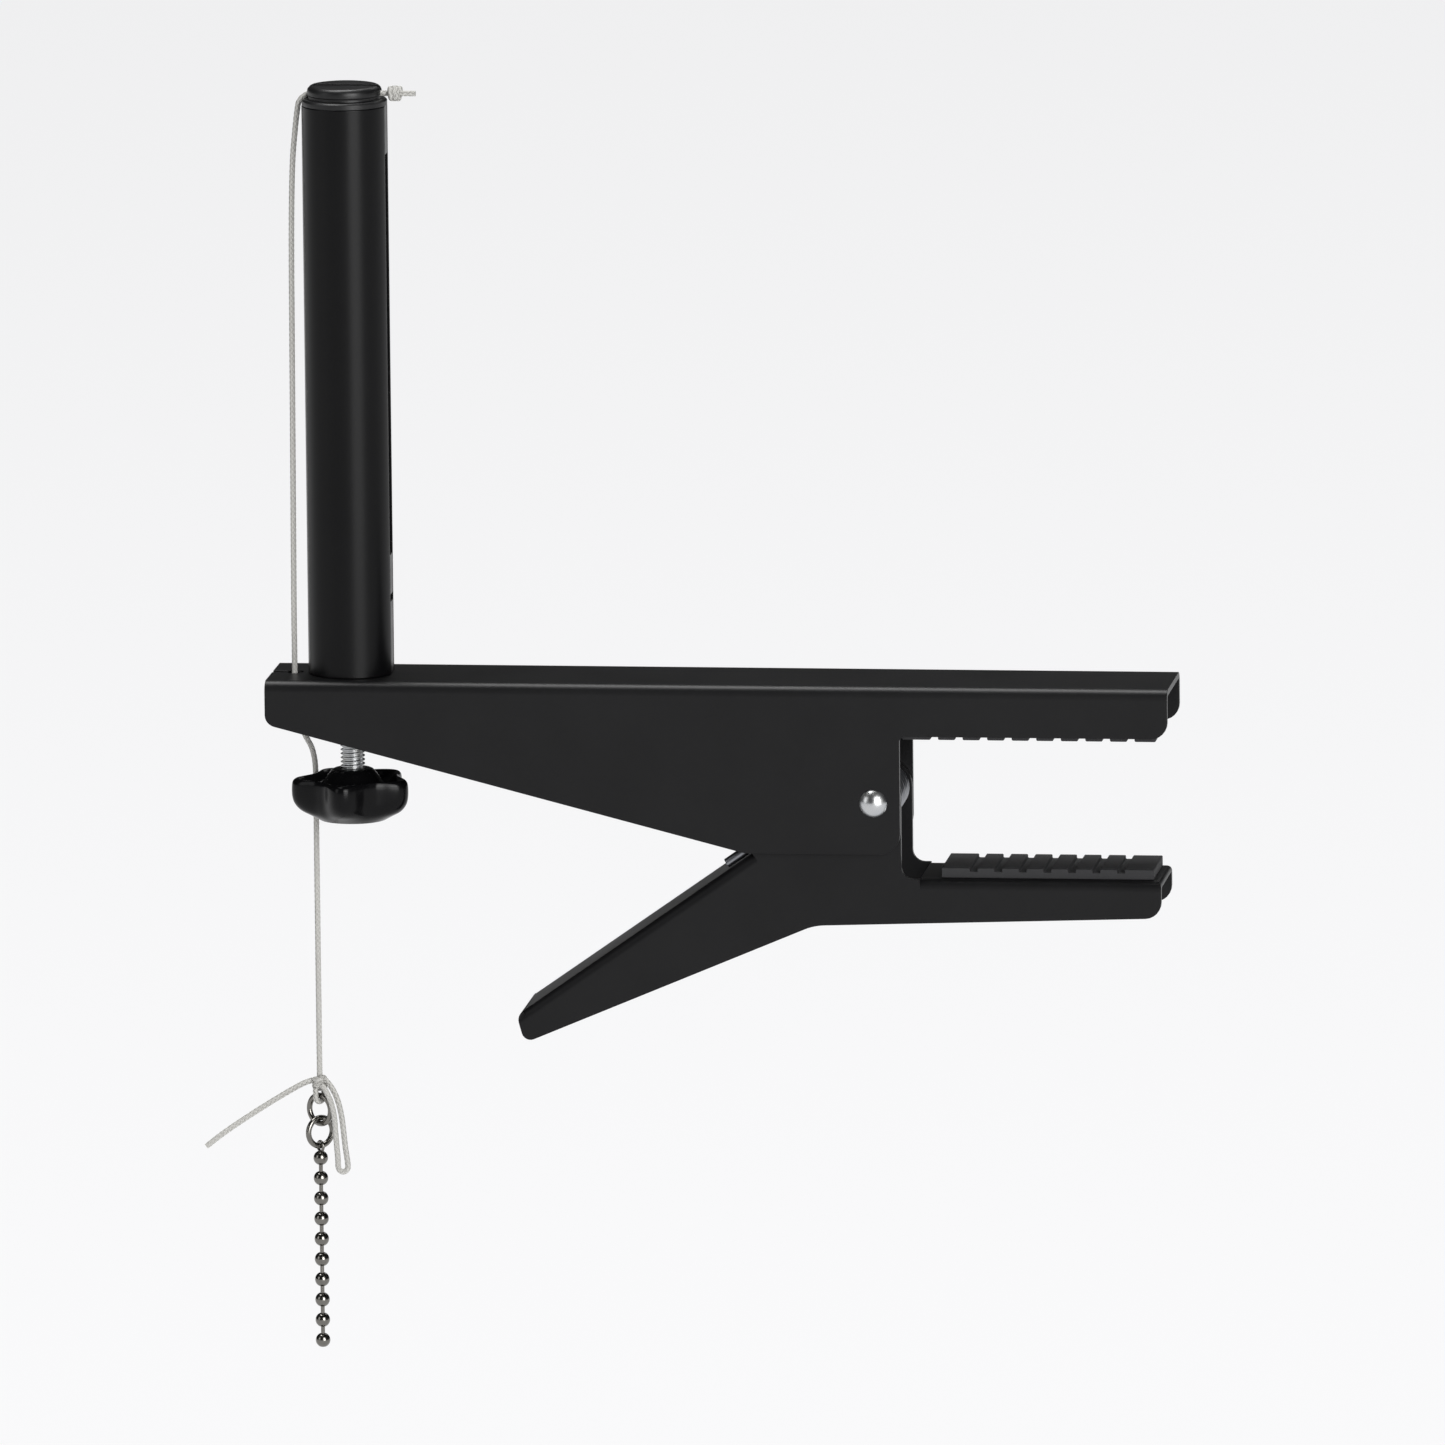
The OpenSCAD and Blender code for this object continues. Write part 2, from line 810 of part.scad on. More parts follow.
// The bend over the cap's edge, measured out from the profile's face and up from its top
cord_bend = [[-3.2, 2.8], [-0.9, 2.2], [0.6, 0.7], [1.1, -1.4]];
// The taut run beside the post: out from the profile's face, and the share of the profile's height
cord_run = [
    [1.7, 0.955], [2.4, 0.9], [2.8, 0.82], [3, 0.72], [3.1, 0.6], [3.2, 0.48], [3.3, 0.36], [3.4, 0.24],
    [3.5, 0.12], [3.5, 0.04]
];
// From the eye round the knob: the share of the way to where the cord hangs, and height above the bracket
cord_round = [
    [0, -3], [0.01, -9.2], [0.2, -13.4], [0.51, -17], [0.82, -20.6], [0.97, -24.4], [1, -29]
];
// Heights of the hanging part
cord_hang = [-36, -48, -62, -76, -88];
knot_drop = 104.2;                        // the knot's middle, below the bracket's top
eye_at = [-eye_out, 0];
hang = hang_r * [cos(hang_turn), sin(hang_turn)];

cord_route = concat(
    [for (q = cord_over_cap) [post_x + q[0], q[1], tube_top + q[2]]],
    [for (q = cord_bend) [post_x - post_d / 2 - q[0], 0, tube_top + q[1]]],
    [for (q = cord_run) [post_x - post_d / 2 - q[0], 0, web_h + q[1] * post_len]],
    [for (q = cord_round) let (p = eye_at + (hang - eye_at) * q[0]) [post_x + p[0], p[1], web_h + q[1]]],
    [for (z = cord_hang) [post_x + hang[0], hang[1], web_h + z]],
    [[post_x + hang[0], hang[1], web_h - knot_drop + knot_half]]
);

module net_cord() {
    color("#f1f1ee")
        swept_tube(smooth(cord_route, 3), cord_r, 8);
}

// Three wraps round the cord, standing along Z
module wraps() {
    rotate_extrude()
        union() {
            for (i = [-1:1])
                translate([wrap_r, i * knot_step])
                    circle(r = cord_r, $fn = 24);
            translate([0, -knot_half + 0.2])
                square([wrap_r, 2 * knot_half - 0.4]);
        }
    cylinder(r = cord_r, h = 2 * knot_half, center = true, $fn = 24);
}

module stopper_knot() {
    color("#ececE8")
        translate([post_x + stopper_x + knot_half, 0, tube_top + cord_over_cap[0][2]])
            rotate([0, 90, 0]) {
                wraps();
                translate([0, 0, knot_half - 0.2])
                    cylinder(r = cord_r, h = 3.2, $fn = 24);
            }
}

ring_wire_r = 0.7;
ring_r = 3.5;
eye_drop = 3.2;                           // the cord's eye below the knot's middle
link_gap = 0.05;
link_wire_r = 0.35;
link_r = 1.2;
eye_loop_r = cord_r + ring_wire_r + 0.1;
top_ring_z = -eye_drop - ring_r;
low_ring_z = top_ring_z - 2 * ring_r + 2 * ring_wire_r + link_gap;
link_z = low_ring_z - ring_r + ring_wire_r + link_wire_r + link_gap - link_r;
first_bead_z = link_z - link_r - bead_d / 2 + 0.1;
top_ring_turn = -35;
low_ring_turn = 42;

module at_knot() {
    translate([post_x + hang[0], hang[1], web_h - knot_drop])
        children();
}

module chain_knot() {
    color("#ececE8")
        at_knot() {
            wraps();
            // the eye that holds the ring: its top is drawn up into the knot
            translate([0, 0, -eye_drop])
                rotate([90, 0, top_ring_turn + 90])
                    wire_ring(eye_loop_r, cord_r);
        }
}

module cord_tail() {
    color("#f1f1ee")
        at_knot()
            swept_tube(smooth([
                [-knot_r + 0.1, 0, 0.6], [-4.4, 0, -0.4], [-8.4, 0.2, -2.7], [-12.6, 0.4, -5.3],
                [-16.8, 0.4, -8], [-21, 0.3, -10.8], [-25.2, 0, -13.8], [-28.2, -0.2, -16.2]
            ], 2), cord_r, 8);
}

module cord_bow() {
    color("#f1f1ee")
        at_knot()
            swept_tube(smooth([
                [knot_r - 0.4, -1.1, 0.9], [3.2, -2.4, -0.7], [4.7, -3.3, -3.4], [5.7, -3.6, -7.2],
                [6.2, -3.6, -11.2], [6.6, -3.6, -15.2], [7.1, -3.6, -18.6], [7.1, -3.6, -20.4],
                [6, -3.6, -21.6], [4.9, -3.6, -20.4], [4.8, -3.6, -18.4], [4.5, -3.6, -15], [4.2, -3.6, -11.4],
                [3.95, -3.7, -7.6], [3.1, -3.6, -4], [1.9, -3, -1.6], [0.9, -2.1, -0.4]
            ], 2), cord_r, 8);
}

module wire_ring(r, wire) {
    rotate_extrude()
        translate([r, 0])
            circle(r = wire, $fn = 24);
}

module chain_rings() {
    color("#a9acb1")
        at_knot() {
            translate([0, 0, top_ring_z])
                rotate([90, 0, top_ring_turn])
                    wire_ring(ring_r, ring_wire_r);
            translate([0, 0, low_ring_z])
                rotate([90, 0, low_ring_turn])
                    wire_ring(ring_r, ring_wire_r);
        }
}

module bead_chain() {
    chain_len = (bead_count - 1) * bead_pitch;
    color("#a9acb1")
        at_knot() {
            translate([0, 0, link_z])
                rotate([90, 0, low_ring_turn + 90])
                    wire_ring(link_r, link_wire_r);
            translate([0, 0, first_bead_z - chain_len])
                cylinder(r = 0.55, h = chain_len, $fn = 24);
            for (i = [0:bead_count - 1])
                translate([0, 0, first_bead_z - i * bead_pitch])
                    sphere(d = bead_d);
        }
}

bracket();
upper_pad();
pivot_pin();
pivot_sleeve();
pivot_washer();
pivot_clip();
torsion_spring();
lever();
lower_pad();
post_guide();
guide_screws();
hex_nut();
post_tube();
post_cap();
thrust_plug();
thrust_washer();
adjusting_screw();
screw_clip();
knob();
knob_cover();
net_cord();
stopper_knot();
chain_knot();
cord_tail();
cord_bow();
chain_rings();
bead_chain();
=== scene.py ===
from math import acos, asin, atan2, cos, floor, pi, radians, sin, sqrt

import bmesh
import bpy
from mathutils import Matrix, Vector
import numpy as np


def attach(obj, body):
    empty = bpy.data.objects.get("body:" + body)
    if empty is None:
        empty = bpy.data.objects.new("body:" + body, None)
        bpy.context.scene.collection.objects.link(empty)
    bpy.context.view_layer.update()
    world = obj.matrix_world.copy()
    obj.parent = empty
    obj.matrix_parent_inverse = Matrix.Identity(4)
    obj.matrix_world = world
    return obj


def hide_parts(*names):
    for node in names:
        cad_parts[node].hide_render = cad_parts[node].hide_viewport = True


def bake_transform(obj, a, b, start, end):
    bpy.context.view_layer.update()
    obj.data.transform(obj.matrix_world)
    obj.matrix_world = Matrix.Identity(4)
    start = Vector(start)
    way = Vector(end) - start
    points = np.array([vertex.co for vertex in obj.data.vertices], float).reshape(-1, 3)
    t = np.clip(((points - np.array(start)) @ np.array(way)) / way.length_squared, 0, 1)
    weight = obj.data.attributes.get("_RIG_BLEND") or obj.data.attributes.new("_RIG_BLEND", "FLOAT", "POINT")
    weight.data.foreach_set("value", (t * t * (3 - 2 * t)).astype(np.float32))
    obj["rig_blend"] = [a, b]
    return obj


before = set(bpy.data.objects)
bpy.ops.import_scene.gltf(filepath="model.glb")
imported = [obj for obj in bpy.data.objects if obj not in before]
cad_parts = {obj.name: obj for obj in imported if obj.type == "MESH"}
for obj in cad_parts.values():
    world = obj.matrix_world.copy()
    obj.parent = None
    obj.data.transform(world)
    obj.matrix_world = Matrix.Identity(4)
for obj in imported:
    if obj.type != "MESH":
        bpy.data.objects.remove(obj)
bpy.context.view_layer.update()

scene = bpy.context.scene

# ---------- Camera, floor and lamps ----------
# The clamp is looked at from beside the table, a little above it, with a long lens.
# A pale floor lies well below it, and soft lamps stand round it.

EYE = Vector((0.7625, -6.558, 1.134))
AIM = Vector((-0.0465, 0, 0.0015))
SEEN_HEIGHT = 0.352                    # metres of the object's plane that the square frame takes in
SENSOR = 36

camera_data = bpy.data.cameras.new("camera")
camera_data.sensor_width = SENSOR
camera_data.lens = SENSOR * (EYE - AIM).length / SEEN_HEIGHT
camera_data.clip_start, camera_data.clip_end = 0.1, 200
camera = bpy.data.objects.new("camera", camera_data)
scene.collection.objects.link(camera)
back = (EYE - AIM).normalized()
# the lens looks down from the side, so X seen level and Z seen upright differ: it takes the middle
level = (Vector((1, 0, 0)) - back * back.x).normalized()
upright = Vector((0, 0, 1)).cross(back).normalized()
right = (level + upright).normalized()
up = back.cross(right)
camera.matrix_world = Matrix.Translation(EYE) @ Matrix((right, up, back)).transposed().to_4x4()
scene.camera = camera
scene.view_settings.view_transform = "Standard"


def linear(hex_colour):
    """The linear colour of an sRGB hex value."""
    channels = [int(hex_colour[i:i + 2], 16) / 255 for i in (1, 3, 5)]
    return (*[c / 12.92 if c <= 0.04045 else ((c + 0.055) / 1.055) ** 2.4 for c in channels], 1)


def add(tree, kind, inputs=(), **settings):
    """A node with its settings; an input is a value, or another node's output that is linked to it."""
    node = tree.nodes.new(kind)
    for name, value in settings.items():
        setattr(node, name, value)
    for socket, value in dict(inputs).items():
        if isinstance(value, bpy.types.NodeSocket):
            tree.links.new(value, node.inputs[socket])
        else:
            node.inputs[socket].default_value = value
    return node


PALE = linear("#f8f8f9")
EVEN_SHARE = 0.88                      # the even part of the floor's look; the rest takes shadow
floor_paint = bpy.data.materials.new("matt_floor_paint")
floor_paint.use_nodes = True
tree = floor_paint.node_tree
tree.nodes.clear()
paint = add(tree, "ShaderNodeBsdfDiffuse", {"Color": PALE})
even = add(tree, "ShaderNodeEmission", {"Color": PALE, "Strength": 1.0})
rays = add(tree, "ShaderNodeLightPath")
direct = add(tree, "ShaderNodeMath", {0: rays.outputs["Is Camera Ray"],
                                      1: rays.outputs["Is Glossy Ray"]}, operation="MAXIMUM")
seen = add(tree, "ShaderNodeMath", {0: direct.outputs[0],
                                    1: rays.outputs["Is Transmission Ray"]}, operation="MAXIMUM")
share = add(tree, "ShaderNodeMath", {0: seen.outputs[0], 1: EVEN_SHARE}, operation="MULTIPLY")
top = add(tree, "ShaderNodeMixShader", {
    "Fac": share.outputs[0], 1: paint.outputs[0], 2: even.outputs[0]})
# seen from below, the floor is clear, so the clamp's underside can be looked at
clear = add(tree, "ShaderNodeBsdfTransparent")
side = add(tree, "ShaderNodeNewGeometry")
top_only = add(tree, "ShaderNodeMixShader", {
    "Fac": side.outputs["Backfacing"], 1: top.outputs[0], 2: clear.outputs[0]})
add(tree, "ShaderNodeOutputMaterial", {"Surface": top_only.outputs[0]})

FLOOR_Z, FLOOR_R = -0.30, 60
bm = bmesh.new()
bmesh.ops.create_circle(bm, cap_ends=True, radius=FLOOR_R, segments=64)
bmesh.ops.translate(bm, verts=bm.verts, vec=(0, 0, FLOOR_Z))
floor_mesh = bpy.data.meshes.new("studio_floor")
bm.to_mesh(floor_mesh)
bm.free()
floor_mesh.materials.append(floor_paint)
studio_floor = bpy.data.objects.new("studio_floor", floor_mesh)
scene.collection.objects.link(studio_floor)

# the room gives the clamp very little light, and is as pale as the far floor where it is looked at
ROOM_LIGHT = 0.032
world = bpy.data.worlds.new("studio")
world.use_nodes = True
scene.world = world
tree = world.node_tree
tree.nodes.clear()
rays = add(tree, "ShaderNodeLightPath")
looked_at = add(tree, "ShaderNodeMath", {0: rays.outputs["Is Camera Ray"],
                                         1: rays.outputs["Is Transmission Ray"]}, operation="MAXIMUM")
level_of_room = add(tree, "ShaderNodeMapRange", {
    "Value": looked_at.outputs[0], "To Min": ROOM_LIGHT, "To Max": EVEN_SHARE})
room = add(tree, "ShaderNodeBackground", {"Color": PALE, "Strength": level_of_room.outputs[0]})
add(tree, "ShaderNodeOutputWorld", {"Surface": room.outputs[0]})

# name, place, width and height in metres, power in watts
LAMPS = [
    ("key_lamp", (1.7, -3.1, 1.6), 1.8, 2.0, 80),
    ("fill_lamp", (-2.8, -1.8, 1.1), 1.4, 2.0, 14),
    ("low_lamp", (1.6265, -2.86, 0.2785), 1.8, 1.6, 60),
    ("top_lamp", (-0.5, 0.5, 2.6), 2.2, 1.2, 80),
    ("rear_lamp", (0.8, 3.0, 2.4), 2.0, 1.0, 10),
]
for name, place, wide, high, power in LAMPS:
    lamp_data = bpy.data.lights.new(name, "AREA")
    lamp_data.shape = "RECTANGLE"
    lamp_data.size, lamp_data.size_y = wide, high
    lamp_data.energy = power
    lamp = bpy.data.objects.new(name, lamp_data)
    lamp.location = place
    lamp.rotation_euler = (Vector(place) - AIM).to_track_quat("Z", "Y").to_euler()
    scene.collection.objects.link(lamp)

# ---------- Bracket ----------
# A channel folded from 1.6 mm steel sheet: the upper jaw, the throat and the arm under the post.
# It is pierced and folded in a press, then powder coated satin black over all its edges.

MM = 0.001
MIX_A, MIX_B, MIX_OUT = 6, 7, 2        # the colour sockets of a Mix node
SHARP = 32                             # degrees past which an edge stays sharp, or is rounded


def per(millimetres):
    """A pattern's scale, from the real size of one of its spots."""
    return 1 / (millimetres * MM)


def start_material(name, sockets):
    """A material with its constant sockets set, its nodes, its shader and its object coordinates."""
    made = bpy.data.materials.new(name)
    made.use_nodes = True
    shader = made.node_tree.nodes["Principled BSDF"]
    for socket, value in sockets.items():
        shader.inputs[socket].default_value = value
    place = add(made.node_tree, "ShaderNodeTexCoord").outputs["Object"]
    return made, made.node_tree, shader, place


def mottle(tree, place, spot, tone_a, tone_b, detail=3):
    """Soft spots of the size given in millimetres: their strength, and a tone between the two."""
    cloud = add(tree, "ShaderNodeTexNoise", {"Vector": place, "Scale": per(spot), "Detail": detail})
    tone = add(tree, "ShaderNodeMix", {
        "Factor": cloud.outputs[0], MIX_A: linear(tone_a), MIX_B: linear(tone_b)}, data_type="RGBA")
    return cloud.outputs[0], tone.outputs[MIX_OUT]


def feed(tree, shader, **outputs):
    """Links outputs to the shader's Base_Color, Roughness or Normal."""
    for socket, output in outputs.items():
        tree.links.new(output, shader.inputs[socket.replace("_", " ")])


def smooth_by_angle(bm, limit=SHARP):
    """Faces shade smooth, and edges sharper than the limit stay sharp."""
    for face in bm.faces:
        face.smooth = True
    for edge in bm.edges:
        edge.smooth = len(edge.link_faces) == 2 and edge.calc_face_angle(0) < radians(limit)


def to_metres(bm, at=(0, 0, 0)):
    """Scales a mesh made in millimetres, and moves its origin to a place in millimetres."""
    bmesh.ops.scale(bm, verts=bm.verts, vec=(MM, MM, MM))
    bmesh.ops.translate(bm, verts=bm.verts, vec=Vector(at) * MM)


def finish_piece(name, bm, material, body, node):
    """The mesh as an object at the origin that rides on its body, if it has one, and stands for its
    CAD node."""
    mesh = bpy.data.meshes.new(name)
    bm.to_mesh(mesh)
    bm.free()
    mesh.materials.append(material)
    piece = bpy.data.objects.new(name, mesh)
    scene.collection.objects.link(piece)
    if body:
        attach(piece, body)
    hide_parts(node)
    return piece


def edged_copy(node, edge, material, body):
    """A merged copy of a CAD node with its sharp edges rounded, in millimetres."""
    bm = bmesh.new()
    bm.from_mesh(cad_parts[node].data)
    bmesh.ops.remove_doubles(bm, verts=bm.verts, dist=0.002 * MM)
    bmesh.ops.dissolve_limit(bm, verts=bm.verts, edges=bm.edges, angle_limit=radians(0.6))
    smooth_by_angle(bm)
    piece = finish_piece(node + "_piece", bm, material, body, node)
    rounding = piece.modifiers.new("rounded_edges", "BEVEL")
    rounding.width = edge * MM
    rounding.segments = 3
    rounding.limit_method = "ANGLE"
    rounding.angle_limit = radians(SHARP)
    shading = piece.modifiers.new("flat_faces", "WEIGHTED_NORMAL")
    shading.weight = 80
    return piece


# Satin powder coat: an even black with a soft grey sheen and a fine orange peel, drawn a
# little coarser than the real 0.5 mm so that it shows.
powder_coat, tree, shader, place = start_material("satin_powder_coat", {
    "IOR": 1.5, "Specular IOR Level": 0.2})
cloud, tone = mottle(tree, place, 16, "#0d0d0e", "#131314")
dull = add(tree, "ShaderNodeMapRange", {"Value": cloud, "From Min": 0.3, "From Max": 0.7,
                                        "To Min": 0.37, "To Max": 0.4})
peel = add(tree, "ShaderNodeTexNoise", {"Vector": place, "Scale": per(1.3), "Detail": 2})
skin = add(tree, "ShaderNodeBump", {"Height": peel.outputs[0], "Strength": 0.35, "Distance": 0.05 * MM})
feed(tree, shader, Base_Color=tone, Roughness=dull.outputs[0], Normal=skin.outputs[0])

edged_copy("bracket", 0.35, powder_coat, "clamp")

# ---------- Upper pad ----------
# A block of black rubber pressed up into the bracket's jaw, with grooves across its face so that
# it grips the table's top. It is moulded, so its skin is matt with a fine grain.

rubber, tree, shader, place = start_material("moulded_rubber_matt", {"IOR": 1.52})
cloud, tone = mottle(tree, place, 5, "#18181a", "#242426", detail=4)
dull = add(tree, "ShaderNodeMapRange", {"Value": cloud, "To Min": 0.66, "To Max": 0.86})
grain = add(tree, "ShaderNodeTexNoise", {"Vector": place, "Scale": per(0.5), "Detail": 3})
skin = add(tree, "ShaderNodeBump", {"Height": grain.outputs[0], "Strength": 0.5, "Distance": 0.06 * MM})
feed(tree, shader, Base_Color=tone, Roughness=dull.outputs[0], Normal=skin.outputs[0])

edged_copy("upper_pad", 0.35, rubber, "clamp")

# ---------- Lever ----------
# The handle and the lower jaw, folded in one from the same sheet, with its tip folded down and
# its cheeks rounded about the pivot. Powder coated like the bracket.

edged_copy("lever", 0.35, powder_coat, "lever")

# ---------- Lower pad ----------
# A thinner strip of the same rubber along the lower jaw. Two pegs moulded on it are pulled
# through holes in the jaw and spread below.

edged_copy("lower_pad", 0.3, rubber, "lever")

# ---------- Pivot sleeve ----------
# A turned nylon tube that keeps the spring's coil off the pin and the lever's cheeks apart.
# It is off-white and slightly waxy, with fine rings from the tool.

nylon, tree, shader, place = start_material("turned_nylon_natural", {
    "IOR": 1.53, "Subsurface Weight": 0.12, "Subsurface Scale": 0.001})
cloud, tone = mottle(tree, place, 4, "#dcd7c9", "#e9e5da")
dull = add(tree, "ShaderNodeMapRange", {"Value": cloud, "To Min": 0.38, "To Max": 0.52})
rings = add(tree, "ShaderNodeTexWave", {"Vector": place, "Scale": per(6), "Distortion": 0.3},
            bands_direction="Y")
skin = add(tree, "ShaderNodeBump", {"Height": rings.outputs[0], "Strength": 0.2, "Distance": 0.02 * MM})
feed(tree, shader, Base_Color=tone, Roughness=dull.outputs[0], Normal=skin.outputs[0])

edged_copy("pivot_sleeve", 0.2, nylon, "clamp")

# ---------- Torsion spring ----------
# One length of 2.4 mm drawn spring wire, wound a little over six turns on the sleeve. One leg bears
# up under the bracket's web and the other down on the handle, so that it closes the jaws. It is
# left oiled.

WEB_H, SHEET_T = 13, 1.6
PIVOT_OUT, PIVOT_DROP = 8, 15.6
HANDLE_SLOPE = radians(34.8)
HANDLE_TOP = 6.5                       # height of the handle's top above the pivot, square to it
COIL_R, WIRE_R, COIL_TURNS, COIL_PITCH = 5, 1.2, 6, 2.9
STEPS_A_TURN, WIRE_SIDES = 28, 16
LEG_FLAT = 8                           # length of each leg's end that lies on the sheet
LEG_SEAT = WIRE_R + 0.02
LOWER_BEND = 31.2                      # along the handle from the pivot
UPPER_BEND = Vector((-PIVOT_OUT - 30, WEB_H - SHEET_T - LEG_SEAT))
BEND_R = 2.6


def on_handle(s, h):
    """A point s millimetres out along the handle from the pivot and h square on its top."""
    return Vector((-PIVOT_OUT - s * cos(HANDLE_SLOPE) - h * sin(HANDLE_SLOPE),
                   -PIVOT_DROP - s * sin(HANDLE_SLOPE) + h * cos(HANDLE_SLOPE)))


def meets_coil(point, side):
    """The angle at which a straight leg from the point meets the coil, above (-1) or below (1) it."""
    v = point - Vector((-PIVOT_OUT, -PIVOT_DROP))
    return atan2(v.y, v.x) % (2 * pi) + side * acos(COIL_R / v.length)


def rounded_bend(a, b, c, reach, steps=6):
    """Points round the corner b of a bent wire, which leaves its straight legs reach before it."""
    start, end = b + (a - b).normalized() * reach, b + (c - b).normalized() * reach
    return [start.lerp(b, t).lerp(b.lerp(end, t), t) for t in [i / steps for i in range(steps + 1)]]


def next_ring(bm, edges):
    """Extrudes a ring of edges, and gives the new ring's vertices and edges."""
    out = bmesh.ops.extrude_edge_only(bm, edges=edges)["geom"]
    verts = [g for g in out if isinstance(g, bmesh.types.BMVert)]
    new = set(verts)
    return verts, [g for g in out if isinstance(g, bmesh.types.BMEdge) and set(g.verts) <= new]


def sweep(bm, route, radius, sides):
    """A bar of round section along the route, closed at both ends. Each vertex keeps its turn round
    the bar and its length along it, in the layers turn and along."""
    turn = bm.verts.layers.float.get("turn") or bm.verts.layers.float.new("turn")
    along = bm.verts.layers.float.get("along") or bm.verts.layers.float.new("along")
    last = len(route) - 1
    ways = [(route[min(i + 1, last)] - route[max(i - 1, 0)]).normalized() for i in range(last + 1)]
    verts = bmesh.ops.create_circle(bm, cap_ends=True, radius=radius, segments=sides)["verts"]
    for v in verts:
        v[turn] = atan2(v.co.y, v.co.x)
    start = Matrix.Translation(route[0]) @ ways[0].to_track_quat("Z", "Y").to_matrix().to_4x4()
    bmesh.ops.transform(bm, matrix=start, verts=verts)
    edges = list({e for v in verts for e in v.link_edges})
    length = 0.0
    for i in range(1, last + 1):
        verts, edges = next_ring(bm, edges)
        turned = ways[i - 1].rotation_difference(ways[i]).to_matrix().to_4x4()
        moved = Matrix.Translation(route[i]) @ turned @ Matrix.Translation(-route[i - 1])
        bmesh.ops.transform(bm, matrix=moved, verts=verts)
        length += (route[i] - route[i - 1]).length
        for v in verts:
            v[along] = length
    bmesh.ops.contextual_create(bm, geom=edges)
    bmesh.ops.recalc_face_normals(bm, faces=bm.faces)


lower_bend = on_handle(LOWER_BEND, HANDLE_TOP + LEG_SEAT)
lower_end = on_handle(LOWER_BEND + LEG_FLAT, HANDLE_TOP + LEG_SEAT)
upper_end = UPPER_BEND - Vector((LEG_FLAT, 0))
coil_from, coil_to = meets_coil(UPPER_BEND, -1), meets_coil(lower_bend, 1) - 2 * pi
coil_sweep = coil_from - coil_to + 2 * pi * COIL_TURNS
coil_length = COIL_PITCH * coil_sweep / (2 * pi)
coil_steps = STEPS_A_TURN * (COIL_TURNS + 1)
coil = []
for i in range(coil_steps + 1):
    a = coil_from - coil_sweep * i / coil_steps
    coil.append((-PIVOT_OUT + COIL_R * cos(a), coil_length * (0.5 - i / coil_steps),
                 -PIVOT_DROP + COIL_R * sin(a)))
coil_top, coil_foot = (Vector((coil[i][0], coil[i][2])) for i in (0, -1))
upper = [upper_end] + rounded_bend(upper_end, UPPER_BEND, coil_top, BEND_R)
lower = rounded_bend(coil_foot, lower_bend, lower_end, BEND_R) + [lower_end]
spring_route = ([(p.x, coil_length / 2, p.y) for p in upper] + coil
                + [(p.x, -coil_length / 2, p.y) for p in lower])
bm = bmesh.new()
sweep(bm, [Vector(p) * MM for p in spring_route], WIRE_R * MM, WIRE_SIDES)
smooth_by_angle(bm, 50)

# Drawn spring steel: dark grey under oil, with faint lines from the die along the wire
spring_wire, tree, shader, place = start_material("drawn_spring_steel_oiled", {
    "Metallic": 1.0, "Coat Weight": 0.25, "Coat Roughness": 0.15})
cloud, tone = mottle(tree, place, 2.5, "#74767a", "#8e9095", detail=4)
round_wire = add(tree, "ShaderNodeAttribute", attribute_name="turn")
drawn = add(tree, "ShaderNodeTexNoise", {"W": round_wire.outputs["Fac"], "Scale": 9.0, "Detail": 2},
            noise_dimensions="1D")
dull = add(tree, "ShaderNodeMapRange", {"Value": drawn.outputs[0], "To Min": 0.24, "To Max": 0.44})
skin = add(tree, "ShaderNodeBump", {"Height": drawn.outputs[0], "Strength": 0.15, "Distance": 0.02 * MM})
feed(tree, shader, Base_Color=tone, Roughness=dull.outputs[0], Normal=skin.outputs[0])
spring = finish_piece("torsion_spring_piece", bm, spring_wire, None, "torsion_spring")
# the upper leg stays on the bracket, the lower one goes with the handle, and the coil winds between
coil_end = coil_length / 2 - WIRE_R
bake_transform(spring, "clamp", "lever", start=(-PIVOT_OUT * MM, coil_end * MM, -PIVOT_DROP * MM),
         end=(-PIVOT_OUT * MM, -coil_end * MM, -PIVOT_DROP * MM))

# ---------- Pivot pin ----------
# A turned steel pin with a low domed head, through both channels. It is held by a washer and a
# snap clip in its groove. Pin and washer are zinc plated and bright.

zinc, tree, shader, place = start_material("bright_zinc_plate", {"Metallic": 1.0})
cloud, tone = mottle(tree, place, 3.5, "#b6bac2", "#cdccc6", detail=4)
dull = add(tree, "ShaderNodeMapRange", {"Value": cloud, "From Min": 0.3, "From Max": 0.7,
                                        "To Min": 0.22, "To Max": 0.36})
grain = add(tree, "ShaderNodeTexNoise", {"Vector": place, "Scale": per(0.6), "Detail": 3})
skin = add(tree, "ShaderNodeBump", {"Height": grain.outputs[0], "Strength": 0.2, "Distance": 0.015 * MM})
feed(tree, shader, Base_Color=tone, Roughness=dull.outputs[0], Normal=skin.outputs[0])

edged_copy("pivot_pin", 0.15, zinc, "clamp")
edged_copy("pivot_washer", 0.12, zinc, "clamp")
edged_copy("pivot_clip", 0.1, spring_wire, "clamp")

# ---------- Post guide ----------
# A moulded black block that stands inside the post and keeps it upright and from turning. Two
# screws through the bracket's web hold it, and a plated nut is caught in a pocket in its foot.

moulded_black, tree, shader, place = start_material("moulded_black_plastic_fine_texture", {
    "IOR": 1.54, "Specular IOR Level": 0.3})
cloud, tone = mottle(tree, place, 8, "#0e0e0f", "#141415")
dull = add(tree, "ShaderNodeMapRange", {"Value": cloud, "To Min": 0.3, "To Max": 0.46})
spark = add(tree, "ShaderNodeTexVoronoi", {"Vector": place, "Scale": per(0.45)})
skin = add(tree, "ShaderNodeBump", {"Height": spark.outputs["Distance"], "Strength": 0.35,
                                    "Distance": 0.04 * MM})
feed(tree, shader, Base_Color=tone, Roughness=dull.outputs[0], Normal=skin.outputs[0])

